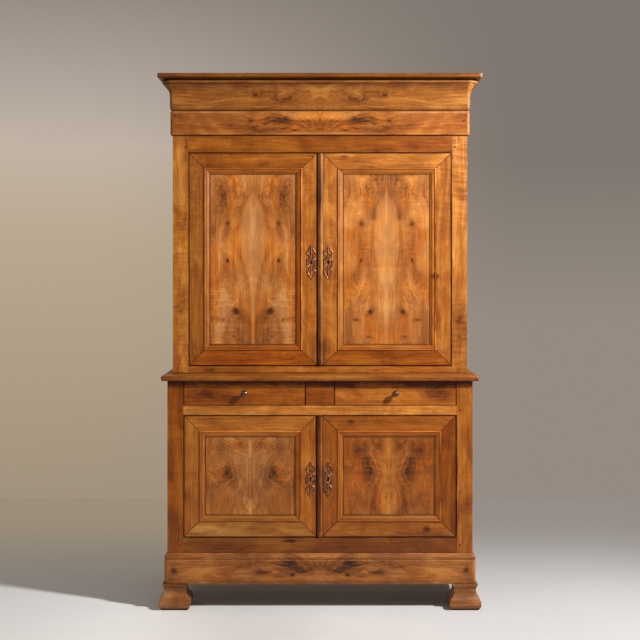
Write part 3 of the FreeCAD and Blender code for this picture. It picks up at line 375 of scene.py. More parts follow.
def fanned(graph, h, v, wobble, cloud, fan):
    """The feather of a crotch: strokes that fan out from a point on the middle line and bend aside. fan is
    that point's v, 1 or -1 for opening up or down, the bend in radians a metre, the strokes in a radian,
    the middle v and half sizes of the feather, its contrast and its darkness."""
    root, way, bend, strokes_in, middle, half_h, half_v, contrast, darkness = fan
    rise = graph.times(graph.less(v, root), way)
    angle = graph.math("ARCTAN2", h, rise)
    reach = graph.math("SQRT", graph.add(graph.times(h, h), graph.times(rise, rise)))
    bent = graph.add(angle, graph.times(wobble, STROKE_WOBBLE), graph.times(reach, -bend))
    along_strokes = graph.vector(graph.times(bent, strokes_in), graph.times(reach, STROKE_CHANGE), 0.0)
    strokes = graph.noise(along_strokes, detail=2.5, roughness=0.60, distortion=0.30)
    uneven = graph.times(wobble, FEATHER_WOBBLE)
    distance = ellipse(graph, h, v, 0.0, middle, half_h, half_v, uneven)
    inside = graph.span(distance, *FEATHER_EDGE, smooth=True)
    drawn = graph.add(graph.times(graph.span(strokes, *STROKE_SPAN), FEATHER_SHARE),
                      graph.times(graph.span(cloud, *FEATHER_CLUSTERS), FEATHER_SHARE))
    light = graph.times(graph.times(graph.centred(strokes), inside), contrast)
    return light, graph.times(graph.times(drawn, inside), darkness)


def flamed(graph, h, v, wobble, flame):
    """Where the pale pointed flame in the middle of a book-matched panel is. flame is the span of v, the
    largest half width, and stops of share along the span and share of the half width."""
    low, high, widest, stops = flame
    table = graph.ramp(graph.span(v, low, high), [(at, (w, w, w, 1.0)) for at, w in stops])
    half = graph.times(graph.add(table, graph.times(wobble, FLAME_WOBBLE)), widest)
    return graph.span(graph.math("DIVIDE", graph.less(half, h), widest), *FLAME_EDGE, smooth=True)


def figure(graph, h, v, wobble, cloud, swirls, fans, flame):
    """The figure of a board that is folded about its middle: what lightens it, what darkens it, how it
    pushes the grain aside, and where its flame is."""
    light, dark, push, pale = 0.0, 0.0, 0.0, None
    figured = graph.attribute("figured", "Fac")
    if swirls:
        light, dark, push = swirled(graph, h, v, wobble, swirls)
    if flame:
        pale = flamed(graph, h, v, wobble, flame)
        light = graph.add(light, graph.times(pale, FLAME_WEIGHT))
        pale = graph.times(pale, figured)
    for fan in fans:
        more_light, more_dark = fanned(graph, h, v, wobble, cloud, fan)
        light = graph.add(light, more_light)
        dark = graph.add(dark, more_dark)
    return *(graph.times(part, figured) for part in (light, dark, push)), pale


def marked(graph, wobble, marks):
    """Knots, smears, repairs and painted shade on the front, each at its own place: x, z, half sizes and
    darkness.
    """
    x, _, z = graph.split(graph.place())
    dark = 0.0
    for centre_x, centre_z, half_x, half_z, darkness in marks:
        uneven = graph.times(wobble, MARK_WOBBLE)
        distance = ellipse(graph, x, z, centre_x, centre_z, half_x, half_z, uneven)
        dark = graph.add(dark, graph.span(distance, 1.0, MARK_CORE, 0.0, darkness, smooth=True))
    return dark


def lined(graph, across, lines):
    """Dirt and painted shade in a moulding's quirks: how far each line lies from the middle, its half width
    and darkness.
    """
    dark = 0.0
    for middle, half, darkness in lines:
        distance = graph.math("ABSOLUTE", graph.less(across, middle))
        dark = graph.add(dark, graph.span(distance, half, half * LINE_CORE, 0.0, darkness))
    return dark


def joint_line(graph, along, across):
    """Dirt where a board meets its neighbours, and painted shade of the gaps there: at its ends and edges,
    on a mitred board the outer edge.
    """
    half_along, half_across, mitre = graph.split(graph.attribute("extent", "Vector"))
    inner = graph.add(graph.less(half_across, across), graph.times(mitre, JOINT_LINE_WIDTH))
    side = graph.math("MINIMUM", graph.add(half_across, across), inner)
    slant = graph.times(graph.add(across, half_across), mitre)
    end = graph.less(graph.less(half_along, slant), graph.math("ABSOLUTE", along))
    return graph.span(graph.math("MINIMUM", side, end), JOINT_LINE_WIDTH, JOINT_LINE_WIDTH * JOINT_CORE)


def fibres(graph, place, push):
    """Streaks, wide bands and open pores that run with the grain, pushed aside round knots."""
    x, y, z = graph.split(place)
    drift = graph.centred(graph.noise(graph.stretch(place, DRIFT_STRETCH), detail=2.0))
    flow = graph.vector(x, graph.add(y, push, graph.times(drift, DRIFT_PUSH)), z)
    streaks = graph.noise(graph.stretch(flow, STREAK_STRETCH), detail=6.0, roughness=0.74)
    bands = graph.noise(graph.stretch(flow, BAND_STRETCH), detail=4.0, roughness=0.6)
    pores = graph.span(graph.noise(graph.stretch(flow, PORE_STRETCH), detail=1.0), *PORE_SPAN)
    return streaks, bands, pores


def curled(graph, place):
    """The light and dark bars across the grain of curly wood, which come and go along a board."""
    curl = graph.noise(graph.stretch(place, CURL_STRETCH), detail=3.0, distortion=1.2)
    patches = graph.noise(graph.stretch(place, CURL_PATCH_STRETCH), detail=1.0)
    return graph.times(graph.centred(curl), graph.span(patches, *CURL_PATCH_SPAN, smooth=True))


def hued(graph, place, value, palette, amber):
    """The colour of the wood by its tone, warmer here and duskier there."""
    colour = graph.ramp(value, [(0.0, palette[0]), (0.5, palette[1]), (1.0, palette[2])])
    warmth = graph.noise(graph.stretch(place, WARMTH_STRETCH), detail=4.0, distortion=0.8)
    warm = graph.mix(1.0, colour, AMBER, "MULTIPLY")
    colour = graph.mix(graph.span(warmth, *WARM_SPAN, 0.0, amber), colour, warm)
    dusky = graph.times(graph.span(warmth, *DUSKY_SPAN, 0.0, amber), graph.span(value, *DUSKY_TONES))
    return graph.mix(dusky, colour, graph.mix(1.0, colour, DUSKY, "MULTIPLY"))


def board_colour(graph, brightness, redness):
    """What a board's own tone multiplies its colour by."""
    green = graph.less(1.0, graph.times(redness, REDNESS_GREEN))
    blue = graph.less(1.0, graph.times(redness, REDNESS_BLUE))
    return graph.node("CombineColor", {0: brightness, 1: graph.times(brightness, green),
                                       2: graph.times(brightness, blue)}).outputs[0]


def dirt_and_painted_shade(graph, along, across, cloud, hollow_grime_and_shade, joints, lines):
    """How much dirt and painted shade darken the wood: in hollows, where boards meet and in the quirks of a
    moulding.
    """
    # painted shade: ambient occlusion darkens the wood in its hollows, together with dirt
    hollow = graph.span(graph.openness(WOOD_HOLLOW, 8), *HOLLOW_OPENNESS)
    dirt_and_shade = graph.times(hollow, graph.span(cloud, *GRIME_AND_SHADE_PATCHES, hollow_grime_and_shade * LEAST_GRIME_AND_SHADE, hollow_grime_and_shade))
    # dirt at joints, with painted shade along the gaps beside the boards
    if joints:
        patchy = graph.span(cloud, *DIRT_AND_SHADE_PATCHES, joints, joints * LEAST_SEAM)
        seam = graph.times(joint_line(graph, along, across), patchy)
        dirt_and_shade = graph.math("MAXIMUM", dirt_and_shade, seam)
    # dirt and painted shade in a moulding's quirks
    if lines:
        quirk = graph.times(lined(graph, across, lines), graph.span(cloud, *DIRT_AND_SHADE_PATCHES, 1.0, LEAST_QUIRK))
        dirt_and_shade = graph.math("MAXIMUM", dirt_and_shade, quirk)
    return dirt_and_shade


def wood(name, palette, roughness=0.42, coat=0.06, contrast=1.0, streaky=1.0, amber=0.30, mirror=None,
         swirls=(), fans=(), flame=None, marks=(), lines=(), joints=0.0, hollow_grime_and_shade=0.90, wear=0.5):
    """Polished or bare wood. palette is its darkest, middle and lightest colour. The grain follows the
    board's own axes; mirror folds the figure about the board's middle, across or along the grain."""
    made, graph, shader = material(name)
    along, across, deep = graph.split(graph.attribute("grain", "Vector"))
    brightness, redness, ripple = graph.split(graph.attribute("board", "Color"))
    seed = graph.attribute("board", "Alpha")
    folded_along = graph.math("ABSOLUTE", along) if mirror == "along" else along
    folded_across = graph.math("ABSOLUTE", across) if mirror == "across" else across
    place = graph.shift(graph.vector(folded_along, folded_across, deep),
                        graph.vector(*(graph.times(seed, step) for step in SEED_STEPS)))
    wobble = graph.centred(graph.noise(place, scale=WOBBLE_SCALE, detail=4.0, roughness=0.6))
    cloud = graph.noise(graph.stretch(place, CLOUD_STRETCH), detail=6.0, roughness=0.64, distortion=0.8)

    light, dark, push = 0.0, 0.0, 0.0
    if mirror:
        h, v = (folded_across, along) if mirror == "across" else (folded_along, across)
        light, dark, push, pale = figure(graph, h, v, wobble, cloud, swirls, fans, flame)
    if mirror == "across":
        brightness = graph.times(brightness, graph.span(across, -LEAF_SEAM, LEAF_SEAM, *LEAF_TONES))
    if marks:
        dark = graph.add(dark, marked(graph, wobble, marks))

    streaks, bands, pores = fibres(graph, place, push)
    value = graph.add(0.5, light, graph.times(curled(graph, place), ripple),
                      graph.times(graph.centred(streaks), STREAK_WEIGHT * streaky),
                      graph.times(graph.centred(bands), BAND_WEIGHT * streaky),
                      graph.times(graph.centred(cloud), CLOUD_WEIGHT * contrast),
                      graph.times(pores, PORE_WEIGHT))
    colour = hued(graph, place, graph.math("SUBTRACT", value, dark, clamp=True), palette, amber)
    if flame:
        colour = graph.mix(graph.times(pale, FLAME_COLOUR_WEIGHT), colour, FLAME)
    colour = graph.mix(1.0, colour, board_colour(graph, brightness, redness), "MULTIPLY")

    # dirt and painted shade in hollows, at joints and in quirks, which darken the colour below
    dirt_and_shade = dirt_and_painted_shade(graph, along, across, cloud, hollow_grime_and_shade, joints, lines)
    worn = graph.times(graph.attribute("worn", "Fac"), graph.span(cloud, *WEAR_PATCHES, LEAST_WEAR, wear))
    colour = graph.mix(graph.times(worn, graph.span(dirt_and_shade, DIRT_AND_SHADE_EDGE, 0.0)), colour, palette[2])
    graph.feed(shader, "Base Color", graph.mix(dirt_and_shade, colour, DIRT_AND_SHADE))
    graph.feed(shader, "Roughness", graph.add(roughness, graph.times(graph.centred(cloud), CLOUD_ROUGHNESS),
                                              graph.times(pores, PORE_ROUGHNESS),
                                              graph.times(dirt_and_shade, DIRT_ROUGHNESS)))
    graph.feed(shader, "Specular IOR Level", 0.24)
    graph.feed(shader, "Coat Weight", coat)
    graph.feed(shader, "Coat Roughness", 0.20)
    height = graph.add(graph.times(streaks, STREAK_HEIGHT), graph.times(pores, PORE_HEIGHT),
                       graph.times(cloud, CLOUD_HEIGHT))
    graph.feed(shader, "Normal", graph.bump(height, *WOOD_RELIEF))
    return made


def metal(name, dark, light, roughness, metallic, patches):
    """Old metal: patina in the hollows and wear on the high places. patches is how many go in a metre."""
    made, graph, shader = material(name)
    place = graph.place()
    cloud = graph.noise(place, scale=patches, detail=5.0, roughness=0.6)
    fine = graph.noise(place, scale=patches * FINER, detail=2.0)
    patina = graph.span(graph.openness(METAL_HOLLOW, 6), *METAL_PATINA)
    share = graph.math("SUBTRACT", graph.span(cloud, *METAL_WEAR), patina, clamp=True)
    graph.feed(shader, "Base Color", graph.mix(share, dark, light))
    graph.feed(shader, "Metallic", metallic)
    graph.feed(shader, "Roughness", graph.add(roughness, graph.times(graph.centred(fine), FINE_ROUGHNESS)))
    height = graph.add(cloud, graph.times(fine, FINE_HEIGHT))
    graph.feed(shader, "Normal", graph.bump(height, *METAL_RELIEF))
    return made


def turned(name, dark, light):
    """Dark polished wood turned on a lathe, with fine level fibres and a wax shine."""
    made, graph, shader = material(name)
    place = graph.place()
    fibre = graph.noise(graph.stretch(place, KNOB_STRETCH), detail=4.0)
    cloud = graph.noise(place, scale=70.0, detail=3.0)
    tone = graph.add(graph.times(fibre, KNOB_FIBRE_SHARE), graph.times(cloud, 1 - KNOB_FIBRE_SHARE))
    graph.feed(shader, "Base Color", graph.mix(graph.span(tone, *KNOB_TONES), dark, light))
    graph.feed(shader, "Roughness", graph.span(cloud, 0.3, 0.7, 0.24, 0.38))
    graph.feed(shader, "Coat Weight", 0.4)
    graph.feed(shader, "Coat Roughness", 0.12)
    graph.feed(shader, "Normal", graph.bump(fibre, *KNOB_RELIEF))
    return made


# The darkest, middle and lightest colour of each wood.
CHERRY = (tint(92, 40, 10), tint(172, 102, 34), tint(228, 160, 74))
FIGURED = (tint(74, 36, 12), tint(176, 108, 48), tint(222, 164, 98))
CROTCH = (tint(54, 26, 8), tint(168, 100, 42), tint(222, 158, 86))
FOOT = (tint(70, 38, 22), tint(150, 98, 58), tint(206, 166, 130))
INSIDE = (tint(96, 62, 36), tint(158, 116, 74), tint(190, 150, 104))

# The dark and the light of iron, of bronze and of the turned knobs.
IRON = (tint(44, 38, 34), tint(104, 96, 88))
BRONZE = (tint(48, 23, 10), tint(186, 116, 70))
KNOB = (tint(34, 15, 9), tint(92, 46, 28))

# Dirt with painted shade, what warm and dusky patches multiply the wood's colour by, and the flame in a
# panel.
DIRT_AND_SHADE = tint(26, 11, 4)
AMBER = (1.12, 0.95, 0.55, 1.0)
DUSKY = (0.84, 0.82, 0.98, 1.0)
FLAME = tint(200, 146, 92)

# Figure of the door panels, the frieze, the plinth and the cornice, from the middle of the board, as
# swirled, fanned and flamed take it.
UPPER_SWIRLS = (
    (0.146, 0.285, 0.090, 0.120, 6.0, 0.06, 0.00, 0.11),
    (0.062, 0.290, 0.050, 0.090, 4.0, 0.07, 0.00, 0.15),
    (0.094, 0.345, 0.036, 0.040, 1.0, 0.00, 0.00, -0.16),
    (0.112, 0.158, 0.044, 0.046, 2.0, 0.03, 0.40, 0.14),
    (0.111, -0.004, 0.018, 0.026, 1.0, 0.00, 0.36, 0.08),
    (0.072, -0.227, 0.042, 0.050, 2.0, 0.03, 0.42, 0.20),
    (0.105, -0.150, 0.060, 0.095, 6.0, 0.08, 0.00, -0.10),
    (0.132, -0.264, 0.034, 0.016, 1.0, 0.00, 0.30, 0.12),
    (0.080, -0.336, 0.034, 0.020, 1.0, 0.00, 0.30, 0.10),
)
UPPER_FLAME = (-0.40, 0.300, 0.066, ((0.0, 0.22), (0.20, 0.12), (0.36, 0.18), (0.51, 0.58), (0.66, 1.0),
                                     (0.80, 0.90), (0.90, 0.60), (1.0, 0.04)))
UPPER_FANS = ((0.46, -1.0, 0.0, 24.0, 0.29, 0.20, 0.12, 0.12, 0.02),)
LOWER_SWIRLS = (
    (0.096, 0.010, 0.064, 0.112, 1.0, 0.00, 0.04, 0.17),
    (0.090, 0.030, 0.105, 0.130, 8.0, 0.05, 0.00, 0.04),
    (0.042, 0.132, 0.036, 0.034, 1.0, 0.00, 0.08, 0.18),
    (0.110, 0.120, 0.070, 0.040, 1.0, 0.00, 0.00, 0.14),
    (0.115, -0.095, 0.060, 0.085, 1.0, 0.00, 0.00, 0.12),
    (0.000, 0.110, 0.024, 0.060, 1.0, 0.00, 0.00, -0.14),
    (0.000, -0.150, 0.050, 0.070, 1.0, 0.00, 0.00, -0.12),
)
LOWER_FLAME = (-0.20, 0.20, 0.008, ((0.0, 0.9), (0.30, 0.4), (0.60, 0.6), (1.0, 0.4)))
LOWER_FANS = (
    (-0.060, 1.0, 7.0, 20.0, 0.080, 0.18, 0.12, 0.85, 0.11),
    (0.010, -1.0, 0.0, 18.0, -0.10, 0.10, 0.12, 0.30, 0.10),
)
FRIEZE_SWIRLS = (
    (0.152, 0.016, 0.060, 0.015, 1.0, 0.00, 0.10, 0.26),
    (0.300, 0.012, 0.032, 0.022, 1.0, 0.00, 0.14, 0.22),
    (0.200, -0.024, 0.120, 0.032, 1.0, 0.00, 0.00, 0.12),
    (0.045, -0.025, 0.035, 0.018, 1.0, 0.00, 0.00, 0.16),
    (0.000, -0.045, 0.016, 0.012, 1.0, 0.00, 0.00, -0.20),
    (0.060, 0.034, 0.130, 0.032, 1.0, 0.00, 0.00, -0.34),
    (0.260, 0.036, 0.080, 0.030, 1.0, 0.00, 0.00, -0.22),
)
FRIEZE_FANS = ((-0.080, 1.0, 2.4, 34.0, 0.000, 0.38, 0.075, 1.50, 0.24),)
PLINTH_SWIRLS = (
    (0.116, -0.027, 0.020, 0.016, 1.0, 0.00, 0.40, 0.24),
    (0.255, -0.016, 0.062, 0.028, 1.0, 0.00, 0.04, 0.28),
    (0.105, 0.012, 0.120, 0.054, 1.0, 0.00, 0.00, 0.26),
    (0.200, 0.026, 0.130, 0.020, 1.0, 0.00, 0.00, 0.26),
    (0.180, -0.034, 0.100, 0.030, 1.0, 0.00, 0.00, 0.16),
    (0.000, -0.060, 0.100, 0.040, 1.0, 0.00, 0.00, -0.24),
)
PLINTH_FANS = ((-0.100, 1.0, 3.0, 34.0, 0.012, 0.38, 0.070, 1.10, 0.14),)
CORNICE_SWIRLS = (
    (0.152, -0.014, 0.080, 0.036, 4.0, 0.07, 0.24, 0.20),
    (0.281, 0.002, 0.040, 0.022, 2.0, 0.04, 0.50, 0.14),
    (0.070, -0.010, 0.080, 0.050, 5.0, 0.06, 0.00, 0.12),
)

# Knots, smears and a repair, and painted shade: a painted shadow under the buffet's top, dark lines in the
# gaps beside the right doors, and on the mouldings dark lines along each door's right moulding: x, z, half
# sizes and darkness.
FRONT_MARKS = (
    (-0.480, 0.916, 0.130, 0.060, 0.28),
    (-0.500, 0.920, 0.050, 0.024, 0.20),
    (0.500, 0.912, 0.100, 0.044, 0.34),
    (0.500, 1.416, 0.030, 0.022, 0.78),
    (0.452, 0.338, 0.026, 0.022, 0.50),
    (0.132, 0.794, 0.024, 0.018, 0.42),
    (0.111, 1.936, 0.034, 0.009, 0.35),
    (-0.130, 0.287, 0.044, 0.010, 0.75),
    (0.040, 1.581, 0.030, 0.0022, 0.80),
    (-0.484, 1.006, 0.040, 0.008, 0.35),
    (0.240, 1.006, 0.040, 0.008, 0.30),
    # painted shadow under the overhang of the buffet's top
    (0.000, 0.966, 3.000, 0.024, 0.55),
    # painted shade in the gaps at the right edges of the right doors
    (0.572, 1.488, 0.0045, 0.620, 0.60),
    (0.582, 0.562, 0.0050, 0.460, 0.55),
)
MOULDING_MARKS = (
    (0.500, 1.416, 0.028, 0.020, 0.45),
    # painted shade along the outer edge of each door's right moulding
    (-0.083, 1.488, 0.0045, 0.600, 0.75),
    (-0.083, 0.562, 0.0045, 0.300, 0.60),
    (0.503, 1.488, 0.0045, 0.600, 0.75),
    (0.513, 0.562, 0.0045, 0.300, 0.60),
)
FRIEZE_MARKS = ((0.625, 2.090, 0.018, 0.014, 0.50),)
PLINTH_MARKS = ((-0.622, 0.164, 0.024, 0.022, 0.40), (0.622, 0.168, 0.024, 0.022, 0.40))

# Dirt and painted shade in the quirks of the plinth and of the doors' mouldings: how far from the board's
# middle, half width and darkness.
PLINTH_LINES = ((0.045, 0.005, 0.34), (0.057, 0.011, 0.16), (-0.060, 0.016, 0.40))
MOULDING_LINES = ((0.0140, 0.0046, 0.85), (-0.0140, 0.0030, 0.28), (-0.0048, 0.0016, 0.45))

MATERIALS = {
    "cherry": wood("cherry", CHERRY, marks=FRONT_MARKS),
    "framing": wood("framing", CHERRY, marks=FRONT_MARKS, joints=0.95),
    "foot": wood("foot", FOOT, contrast=1.2, roughness=0.5, hollow_grime_and_shade=0.95, wear=0.8),
    "moulding": wood("moulding", CHERRY, contrast=0.7, streaky=0.7, lines=MOULDING_LINES,
                     marks=MOULDING_MARKS, wear=0.15),
    "ledge": wood("ledge", CHERRY, hollow_grime_and_shade=0.45),
    "upper_panel": wood("upper_panel", FIGURED, contrast=1.10, streaky=0.84, amber=1.0, mirror="across",
                        swirls=UPPER_SWIRLS, flame=UPPER_FLAME, fans=UPPER_FANS),
    "lower_panel": wood("lower_panel", FIGURED, contrast=1.05, streaky=0.88, amber=0.9, mirror="across",
                        swirls=LOWER_SWIRLS, flame=LOWER_FLAME, fans=LOWER_FANS),
    "frieze": wood("frieze", CROTCH, streaky=1.05, amber=0.7, mirror="along", swirls=FRIEZE_SWIRLS,
                   fans=FRIEZE_FANS, marks=FRIEZE_MARKS),
    "plinth": wood("plinth", CROTCH, streaky=0.95, amber=0.5, mirror="along", swirls=PLINTH_SWIRLS,
                   fans=PLINTH_FANS, lines=PLINTH_LINES, marks=PLINTH_MARKS),
    "cornice": wood("cornice", CHERRY, streaky=1.25, mirror="along", swirls=CORNICE_SWIRLS),
    "plain_wood": wood("plain_wood", INSIDE, roughness=0.68, coat=0.0, amber=0.0, hollow_grime_and_shade=0.5, wear=0.2),
    "iron": metal("iron", *IRON, roughness=0.48, metallic=0.85, patches=60.0),
    "bronze": metal("bronze", *BRONZE, roughness=0.38, metallic=0.60, patches=160.0),
    "knob": turned("knob", *KNOB),
}


# Pieces

def add_object(name, data):
    made = bpy.data.objects.new(name, data)
    bpy.context.scene.collection.objects.link(made)
    return made


def mesh_of(name, bm):
    mesh = bpy.data.meshes.new(name)
    bm.to_mesh(mesh)
    bm.free()
    return mesh


def settle(name, mesh, node, finish, weighted=False):
    """Makes the object of a mesh, in place of a CAD node and on that node's body."""
    made = add_object(name, mesh)
    mesh.materials.append(MATERIALS[finish])
    if weighted:
        made.modifiers.new("weighted", "WEIGHTED_NORMAL").keep_sharp = True
    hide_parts(node)
    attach(made, BODY_OF[node])


def solids_of(node):
    """The closed solids of a CAD node, each a list of faces, each face a list of its corners. A solid is
    whole once each of its edges has met its opposite."""
    mesh = frame["nodes"][node].data
    points = [tuple(round(c, POINT_DIGITS) for c in vertex.co) for vertex in mesh.vertices]
    found, faces, unmatched = [], [], {}
    for polygon in mesh.polygons:
        face = [points[i] for i in polygon.vertices]
        faces.append(face)
        for a, b in zip(face, face[1:] + face[:1]):
            if unmatched.get((b, a)):
                unmatched[b, a] -= 1
                if not unmatched[b, a]:
                    del unmatched[b, a]
            else:
                unmatched[a, b] = unmatched.get((a, b), 0) + 1
        if not unmatched:
            found.append(faces)
            faces = []
    return found + [faces] if faces else found


def solid(faces):
    """A bmesh of one solid, its flat faces made whole again."""
    bm = bmesh.new()
    corners = {}
    for face in faces:
        for point in face:
            if point not in corners:
                corners[point] = bm.verts.new(point)
    for face in faces:
        if len(set(face)) == len(face):
            bm.faces.new([corners[point] for point in face])
    bmesh.ops.dissolve_limit(bm, angle_limit=FLAT_EDGE, verts=bm.verts, edges=bm.edges)
    return bm


def ease(bm, width):
    """Rounds the sharp edges, as wear and sandpaper do. Returns the faces that it made."""
    sharp = [e for e in bm.edges if len(e.link_faces) == 2 and e.calc_face_angle() > SHARP_EDGE]
    if not sharp:
        return set()
    made = bmesh.ops.bevel(bm, geom=sharp, offset=width, segments=ARRIS_STEPS, profile=ARRIS_PROFILE,
                           affect="EDGES", clamp_overlap=True)
    return set(made["faces"])


def grain_axes(size, upright):
    """Indices of a board's axes: along its grain, across it and through it. The grain follows the longest
    side, unless upright names another axis."""
    order = sorted(range(3), key=lambda i: -size[i])
    if upright is not None:
        order.remove(upright)
        order.insert(0, upright)
    return order


class Piece:
    """Gathers boards into one mesh whose points carry their board's own grain coordinates."""

    def __init__(self):
        self.points, self.faces, self.worn = [], [], []
        self.grain, self.extent, self.board, self.figured = [], [], [], []

    def add(self, bm, eased, tone, upright, inward, mitre):
        """Takes in a board. eased is its rounded faces, tone its colour and seed. inward is 1 or -1, the
        way across the grain to its inner edge. mitre is 1 where its ends are cut at 45 degrees, else 0."""
        low = [min(v.co[i] for v in bm.verts) for i in range(3)]
        high = [max(v.co[i] for v in bm.verts) for i in range(3)]
        size = [b - a for a, b in zip(low, high)]
        middle = [(a + b) / 2 for a, b in zip(low, high)]
        axes = grain_axes(size, upright)
        half_along, half_across, _ = (size[i] / 2 for i in axes)
        figured = 1.0 if abs(middle[0]) < size[0] or upright is not None else 0.0
        start = len(self.points)
        bm.verts.index_update()
        for vertex in bm.verts:
            along, across, deep = (vertex.co[i] - middle[i] for i in axes)
            self.points.append(vertex.co[:])
            self.grain.extend((along, across * inward, deep))
            self.extent.extend((half_along, half_across, mitre))
            self.board.extend(tone)
            self.figured.append(figured)
        for face in bm.faces:
            self.faces.append([start + v.index for v in face.verts])
            self.worn.extend([1.0 if face in eased else 0.0] * len(face.verts))
        bm.free()

    def mesh(self, name):
        made = bpy.data.meshes.new(name)
        made.from_pydata(self.points, [], self.faces)
        for title, kind, domain, field, values in (
                ("grain", "FLOAT_VECTOR", "POINT", "vector", self.grain),
                ("extent", "FLOAT_VECTOR", "POINT", "vector", self.extent),
                ("board", "FLOAT_COLOR", "POINT", "color", self.board),
                ("figured", "FLOAT", "POINT", "value", self.figured),
                ("worn", "FLOAT", "CORNER", "value", self.worn)):
            made.attributes.new(title, kind, domain).data.foreach_set(field, values)
        made.shade_smooth()
        made.set_sharp_from_angle(angle=SMOOTH_ANGLE)
        return made


def side_of(bm, low, high):
    """Where a solid sits in its node: left, right, low, high, or all where it is near the middle."""
    centre = [sum(v.co[i] for v in bm.verts) / len(bm.verts) for i in range(3)]
    x, _, z = [(2 * c - a - b) / (b - a) for c, a, b in zip(centre, low, high)]
    if max(abs(x), abs(z)) < NEAR_MIDDLE:
        return "all"
    if abs(x) > abs(z):
        return "left" if x < 0 else "right"
    return "low" if z < 0 else "high"


def boards(node, finish, tones, arris, upright):
    """The boards of a CAD node, with eased edges. tones gives brightness, redness and ripple by side."""
    chance = random.Random(node)
    piece = Piece()
    mitred = node.endswith(("door_frame", "door_mouldings"))
    low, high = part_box(node)
    for faces in solids_of(node):
        bm = solid(faces)
        side = side_of(bm, low, high)
        tone = tones[side if side in tones else "all"]
        eased = ease(bm, arris) if arris else set()
        piece.add(bm, eased, (*tone, chance.random()), upright,
                  inward=-1 if mitred and side in ("right", "high") else 1, mitre=1.0 if mitred else 0.0)
    name = node + "_wood"
    settle(name, piece.mesh(name), node, finish, weighted=True)


def smooth_path(points):
    """A Catmull-Rom line through points of x, z and half width."""
    ends = [points[0], *points, points[-1]]
    line = []
    for a, b, c, d in zip(ends, ends[1:], ends[2:], ends[3:]):
        for step in range(CURVE_STEPS):
            t = step / CURVE_STEPS
            line.append([0.5 * (2 * q + (r - p) * t + (2 * p - 5 * q + 4 * r - s) * t * t
                                + (3 * q - p - 3 * r + s) * t ** 3) for p, q, r, s in zip(a, b, c, d)])
    return line + [list(points[-1])]


def limb(bm, line, face, rise, closed=False):
    """A raised half-round strap of bronze along a line of x, z and half width, on the plane y = face."""
    rings = []
    for i, (x, z, half) in enumerate(line):
        before = line[i - 1] if i or closed else line[0]
        after = line[(i + 1) % len(line)] if i + 1 < len(line) or closed else line[-1]
        along = Vector((after[0] - before[0], after[1] - before[1])).normalized()
        share = min(1, half / FULL_RISE_HALF)
        ring = []
        for k in range(LIMB_SIDES + 1):
            turn = math.pi * k / LIMB_SIDES
            reach = half * math.cos(turn)
            y = face - rise * math.sin(turn) * share
            ring.append(bm.verts.new((x - along.y * reach, y, z + along.x * reach)))
        rings.append(ring)
    for ring, after in zip(rings, rings[1:] + rings[:1] if closed else rings[1:]):
        for k in range(LIMB_SIDES):
            bm.faces.new((ring[k], ring[k + 1], after[k + 1], after[k]))
    if not closed:
        bm.faces.new(rings[0])
        bm.faces.new(reversed(rings[-1]))


# A keyhole plate's straps, left and right and in the middle, and its ring: x and z from the keyhole and
# half width, all in thousandths of the plate's half height.
THOUSANDTHS = 1000
ESCUTCHEON_LIMBS = (
    ((20, 300, 26), (70, 330, 30), (118, 395, 34), (190, 455, 40), (232, 540, 44), (205, 640, 40),
     (140, 750, 34), (70, 860, 28), (20, 975, 14)),
    ((20, -300, 26), (70, -330, 30), (118, -385, 34), (185, -440, 40), (222, -520, 44), (200, -620, 42),
     (145, -730, 38), (85, -830, 34), (20, -930, 30)),
    ((128, 372, 20), (90, 420, 26), (110, 470, 24), (150, 470, 16)),
    ((128, -362, 20), (90, -410, 26), (110, -460, 24), (150, -460, 16)),
    ((110, 330, 28), (185, 250, 34), (228, 130, 38), (236, 0, 40), (228, -130, 38), (185, -250, 34),
     (110, -330, 28)),
)
ESCUTCHEON_STEMS = (
    ((0, 250, 30), (0, 380, 44), (0, 520, 34), (0, 660, 56), (0, 800, 40), (0, 985, 12)),
    ((0, -250, 30), (0, -380, 44), (0, -500, 34), (0, -640, 56), (0, -790, 52), (0, -930, 46),
     (0, -985, 20)),
)
BOSS_RING = (150, 235, 34)

# Half width and half height of the slot.
KEYHOLE = (0.0032, 0.0094)


def boss(bm, cx, cz, face, rise, scale):
    """The round middle of a keyhole plate: its raised ring, and the dish inside it, cut by the slot."""
    across, up, half = (value * scale for value in BOSS_RING)
    turns = [math.tau * k / BOSS_STEPS for k in range(BOSS_STEPS)]
    ring = [(cx + across * math.cos(t), cz + up * math.sin(t), half) for t in turns]
    limb(bm, ring, face, rise, closed=True)
    outer = [bm.verts.new((x, face - rise * BOSS_RISE, z)) for x, z, _ in ring]
    inner, foot = [], []
    wide, tall = KEYHOLE
    for t in turns:
        x = wide * math.cos(t)
        z = wide * math.sin(t) + math.copysign(tall - wide, math.sin(t))
        inner.append(bm.verts.new((cx + x, face - rise * KEYHOLE_RISE, cz + z)))
        foot.append(bm.verts.new((cx + x, face, cz + z)))
    for k in range(BOSS_STEPS):
        n = (k + 1) % BOSS_STEPS
        bm.faces.new((outer[k], outer[n], inner[n], inner[k]))
        bm.faces.new((inner[k], inner[n], foot[n], foot[k]))


